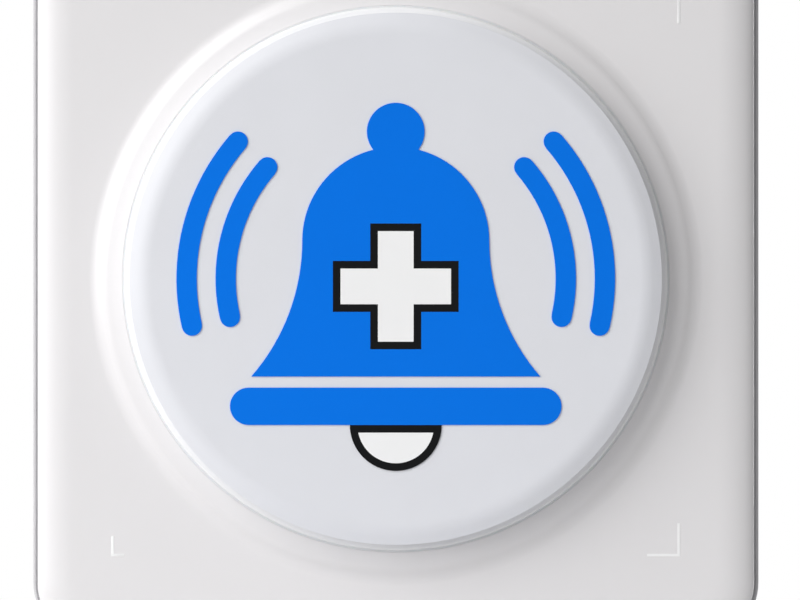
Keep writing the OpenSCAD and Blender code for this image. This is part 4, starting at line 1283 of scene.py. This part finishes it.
def battery_contact():
    """A disc with a raised rim and a dot pressed out of it towards the cell."""
    low, high = bench_box("battery_contact")
    sheet = low.z + CONTACT_DOT.y
    piece = turned("battery_contact_disc", [
        (CONTACT_DOT.x, low.z), (CONTACT_DOT.x + CONTACT_RIM.x, sheet), (CONTACT - CONTACT_RIM.x, sheet),
        (CONTACT, sheet + CONTACT_RIM.y), (CONTACT, high.z)], ends="discs", sides=ROD_SIDES)
    stand_up(moved(piece, cell_axis), "battery_contact")


# Radio, chips and small components

def antenna_coil():
    """Wire wound along x, whose two ends run straight to the board."""
    low, high = bench_box("antenna_coil")
    radius = (high.y - low.y) / 2 - ANTENNA_WIRE
    length = high.x - low.x - 2 * ANTENNA_WIRE
    piece = coil("antenna_coil_wire", radius, ANTENNA_WIRE, [(ANTENNA_TURNS, length)], hand=-1)
    moved(piece, (low.x + ANTENNA_WIRE, (low.y + high.y) / 2, high.z - ANTENNA_DROP), turn=(90, 0, 90))
    edit(piece)
    pick(piece, "EDGE", is_open)
    bpy.ops.mesh.extrude_edges_move(TRANSFORM_OT_translate={"value": (0, 0, ANTENNA_DROP)})
    leave()
    close_ends(piece)
    stand_up(piece, "antenna_coil", smooth=WIRE_SMOOTH)


def radio_shield():
    """A pressed can with rows of vent holes."""
    low, high = bench_box("radio_shield")
    piece = block("radio_shield_can", low, high, SHIELD_EDGE, sides=3)
    vents = [
        rod("vent", Vector((x, y, low.z - ROOT)), Vector((x, y, low.z + VENT.y)), VENT.x, VENT_SIDES)
        for x in spaced(low.x + VENT_INSET, high.x - VENT_INSET, VENT_COLUMNS)
        for y in spaced(low.y + VENT_INSET, high.y - VENT_INSET, VENT_ROWS)]
    cut(piece, join(*vents))
    stand_up(piece, "radio_shield")


def radio_pads():
    """Solder pads in a row along both sides of the radio's board."""
    low, high = bench_box("radio_module")
    half = RADIO_PAD.y / 2
    under = low.z - RADIO_PAD_PROUD
    inset = RADIO_PAD_INSET
    pads = [
        block("radio_module_pads", Vector((x, y - half, under)),
              Vector((x + RADIO_PAD.x, y + half, under + RADIO_PAD.z)))
        for x in (low.x + inset.x, high.x - inset.x - RADIO_PAD.x)
        for y in spaced(low.y + inset.y, high.y - inset.y, RADIO_PADS)]
    stand_up(join(*pads), "radio_module", slot="contact_brass", replace=False)


def microcontroller():
    """A chip's case, a little off the board, with a dimple that marks its first lead."""
    low, high = bench_box("microcontroller")
    piece = block("microcontroller_case", low, Vector((*high.xy, high.z - CASE_LIFT)), CASE_EDGE)
    mark = Vector((low.x + PIN_ONE_INSET, high.y - PIN_ONE_INSET, low.z))
    cut(piece, rod("pin_one", mark - ROOT * UP, mark + PIN_ONE.y * UP, PIN_ONE.x, SMALL_SIDES))
    stand_up(piece, "microcontroller")


def chip_leads():
    """Rows of leads on the chip's four sides: each comes out level, bends down and ends in a foot."""
    low, high = bench_box("microcontroller")
    side = (high.x - low.x) / 2
    half = LEAD.x / 2
    knee = side + LEAD_KNEE
    bend = knee - LEAD.y
    top = high.z - LEAD_RISE
    under = high.z - LEAD_SOLDER
    bars = (("microcontroller_leads", side, knee, top, top + LEAD.y), ("knee", bend, knee, top, under),
            ("foot", bend, side + LEAD_REACH, under - LEAD.y, under))
    leads = []
    for y in spaced(LEAD_INSET - side, side - LEAD_INSET, LEADS):
        lead, *bent = [
            block(name, Vector((start, y - half, upper)), Vector((end, y + half, lower)))
            for name, start, end, upper, lower in bars]
        unite(lead, *bent)
        leads.append(lead)
    piece = moved(four(join(*leads)), axis_of("microcontroller"))
    stand_up(piece, "microcontroller", slot="tinned_steel", replace=False)


def crystal():
    """A metal can with round ends on a thin flange."""
    low, high = bench_box("crystal")
    rim = CRYSTAL_FLANGE.x
    inset = Vector((rim, rim, 0))
    half = (high.y - low.y) / 2
    piece = rounded_box("crystal_can", low + inset, high - inset, FULL_ROUND * (half - rim))
    soften(piece, low.z, CRYSTAL_EDGE, sides=4)
    flange_low = Vector((*low.xy, high.z - CRYSTAL_FLANGE.y))
    unite(piece, rounded_box("flange", flange_low, high, FULL_ROUND * half))
    stand_up(piece, "crystal")


def chips(node, columns, rows):
    """Rows of small block components with metal end caps."""
    low, high = bench_box(node)
    inset = Vector((CHIP_CAP, CHIP_STEP, CHIP_STEP))
    bodies = []
    caps = []
    for x in spaced(low.x, high.x - CHIP.x, columns):
        for y in spaced(low.y, high.y - CHIP.y, rows):
            foot = Vector((x, y, low.z))
            head = Vector((x + CHIP.x, y + CHIP.y, high.z))
            bodies.append(block(node + "_bodies", foot + inset, head - inset, CHIP_EDGE))
            for start in (foot.x, head.x - CHIP_CAP):
                caps.append(block(node + "_end_caps", Vector((start, y, low.z)),
                                  Vector((start + CHIP_CAP, head.y, high.z)), CHIP_CAP_EDGE))
    stand_up(join(*bodies), node)
    stand_up(join(*caps), node, slot="tinned_steel", replace=False)


front_cover()
corner_marks()
wall_plate()
perimeter_seal()
adhesive_pads()
cover_lock_screw()
button_carrier()
face_cap()
wiper_ring()
button_seal()
actuator_pad()
chassis()
corner_screws("chassis_screws", boss_at, chassis_under, CHASSIS_SCREW.x, CHASSIS_HEAD)
corner_screws("pcb_screws", pcb_screw_at, bench_box("pcb")[0].z, PCB_SCREW, PCB_HEAD)
return_springs()
switch_body()
switch_frame()
switch_plunger()
contact_dome()
switch_terminals()
battery_holder()
coin_cell()
battery_clip()
battery_contact()
antenna_coil()
radio_shield()
radio_pads()
microcontroller()
chip_leads()
crystal()
chips("capacitors", 2, 3)
chips("resistors", 4, 1)

# CAD nodes whose shape is right keep it and get their finish
for name, part in frame["nodes"].items():
    if not part.hide_render:
        dress(part, SLOTS[name])


# Stage, light and camera

def seen_ray(tree):
    """1 for what the camera sees straight on, mirrored or through something clear."""
    ray = add_node(tree, "ShaderNodeLightPath", {}).outputs
    seen = ray["Is Camera Ray"]
    for kind in ("Is Glossy Ray", "Is Transmission Ray"):
        either = add_node(tree, "ShaderNodeMath", {0: seen, 1: ray[kind]}, operation="MAXIMUM")
        seen = either.outputs["Value"]
    return seen


def studio_white(name):
    """A pale floor that shows white, and a soft shadow where the object keeps the light from it."""
    made = bpy.data.materials.new(name)
    made.use_nodes = True
    tree = made.node_tree
    tree.nodes.clear()
    lit = add_node(tree, "ShaderNodeBsdfDiffuse", {"Color": linear(FLOOR_COLOUR)}).outputs["BSDF"]
    glow = add_node(tree, "ShaderNodeEmission", {"Color": linear(WHITE), "Strength": FLOOR_GLOW})
    both = add_node(tree, "ShaderNodeAddShader", {0: lit, 1: glow.outputs["Emission"]})
    mix = add_node(tree, "ShaderNodeMixShader", {0: seen_ray(tree), 1: lit, 2: both.outputs["Shader"]})
    add_node(tree, "ShaderNodeOutputMaterial", {"Surface": mix.outputs["Shader"]})
    return made


def studio_world():
    """Even light from all round, which the camera sees as white."""
    world = bpy.data.worlds.new("studio")
    world.use_nodes = True
    tree = world.node_tree
    sky = tree.nodes["Background"]
    sky.inputs["Color"].default_value = linear(WHITE)
    level = add_node(tree, "ShaderNodeMapRange", {
        "Value": seen_ray(tree), "To Min": WORLD_LEVEL, "To Max": 1.0})
    tree.links.new(level.outputs["Result"], sky.inputs["Strength"])
    bpy.context.scene.world = world


def lamp(name, place, side, power):
    """A square lamp that points at the origin and isn't seen itself."""
    bpy.ops.object.select_all(action="DESELECT")
    bpy.ops.object.light_add(type="AREA", location=place)
    light = bpy.context.object
    light.name = name
    light.rotation_euler = (-place).to_track_quat("-Z", "Y").to_euler()
    light.data.shape = "SQUARE"
    light.data.size = side
    light.data.energy = power
    light.visible_camera = False


def front_camera():
    """A camera far in front of the button, whose frame crops the top and the bottom of the box."""
    lens = bpy.data.cameras.new("camera")
    lens.sensor_width = SENSOR
    lens.lens = SENSOR * CAMERA_DISTANCE / FRAME_WIDTH
    lens.clip_end = CAMERA_REACH
    camera = bpy.data.objects.new("camera", lens)
    camera.location = Vector((0, -cover_front - CAMERA_DISTANCE, 0)) + VIEW_SHIFT
    camera.rotation_euler.x = math.radians(90)
    bpy.context.scene.collection.objects.link(camera)
    bpy.context.scene.camera = camera


floor = add("floor", bpy.ops.mesh.primitive_plane_add, size=FLOOR, location=(0, 0, cad_low.z - FLOOR_DROP))
floor.data.materials.append(studio_white("studio_floor"))
studio_world()
for name, settings in LAMPS.items():
    lamp(name, *settings)
front_camera()
bpy.context.scene.view_settings.view_transform = "Standard"
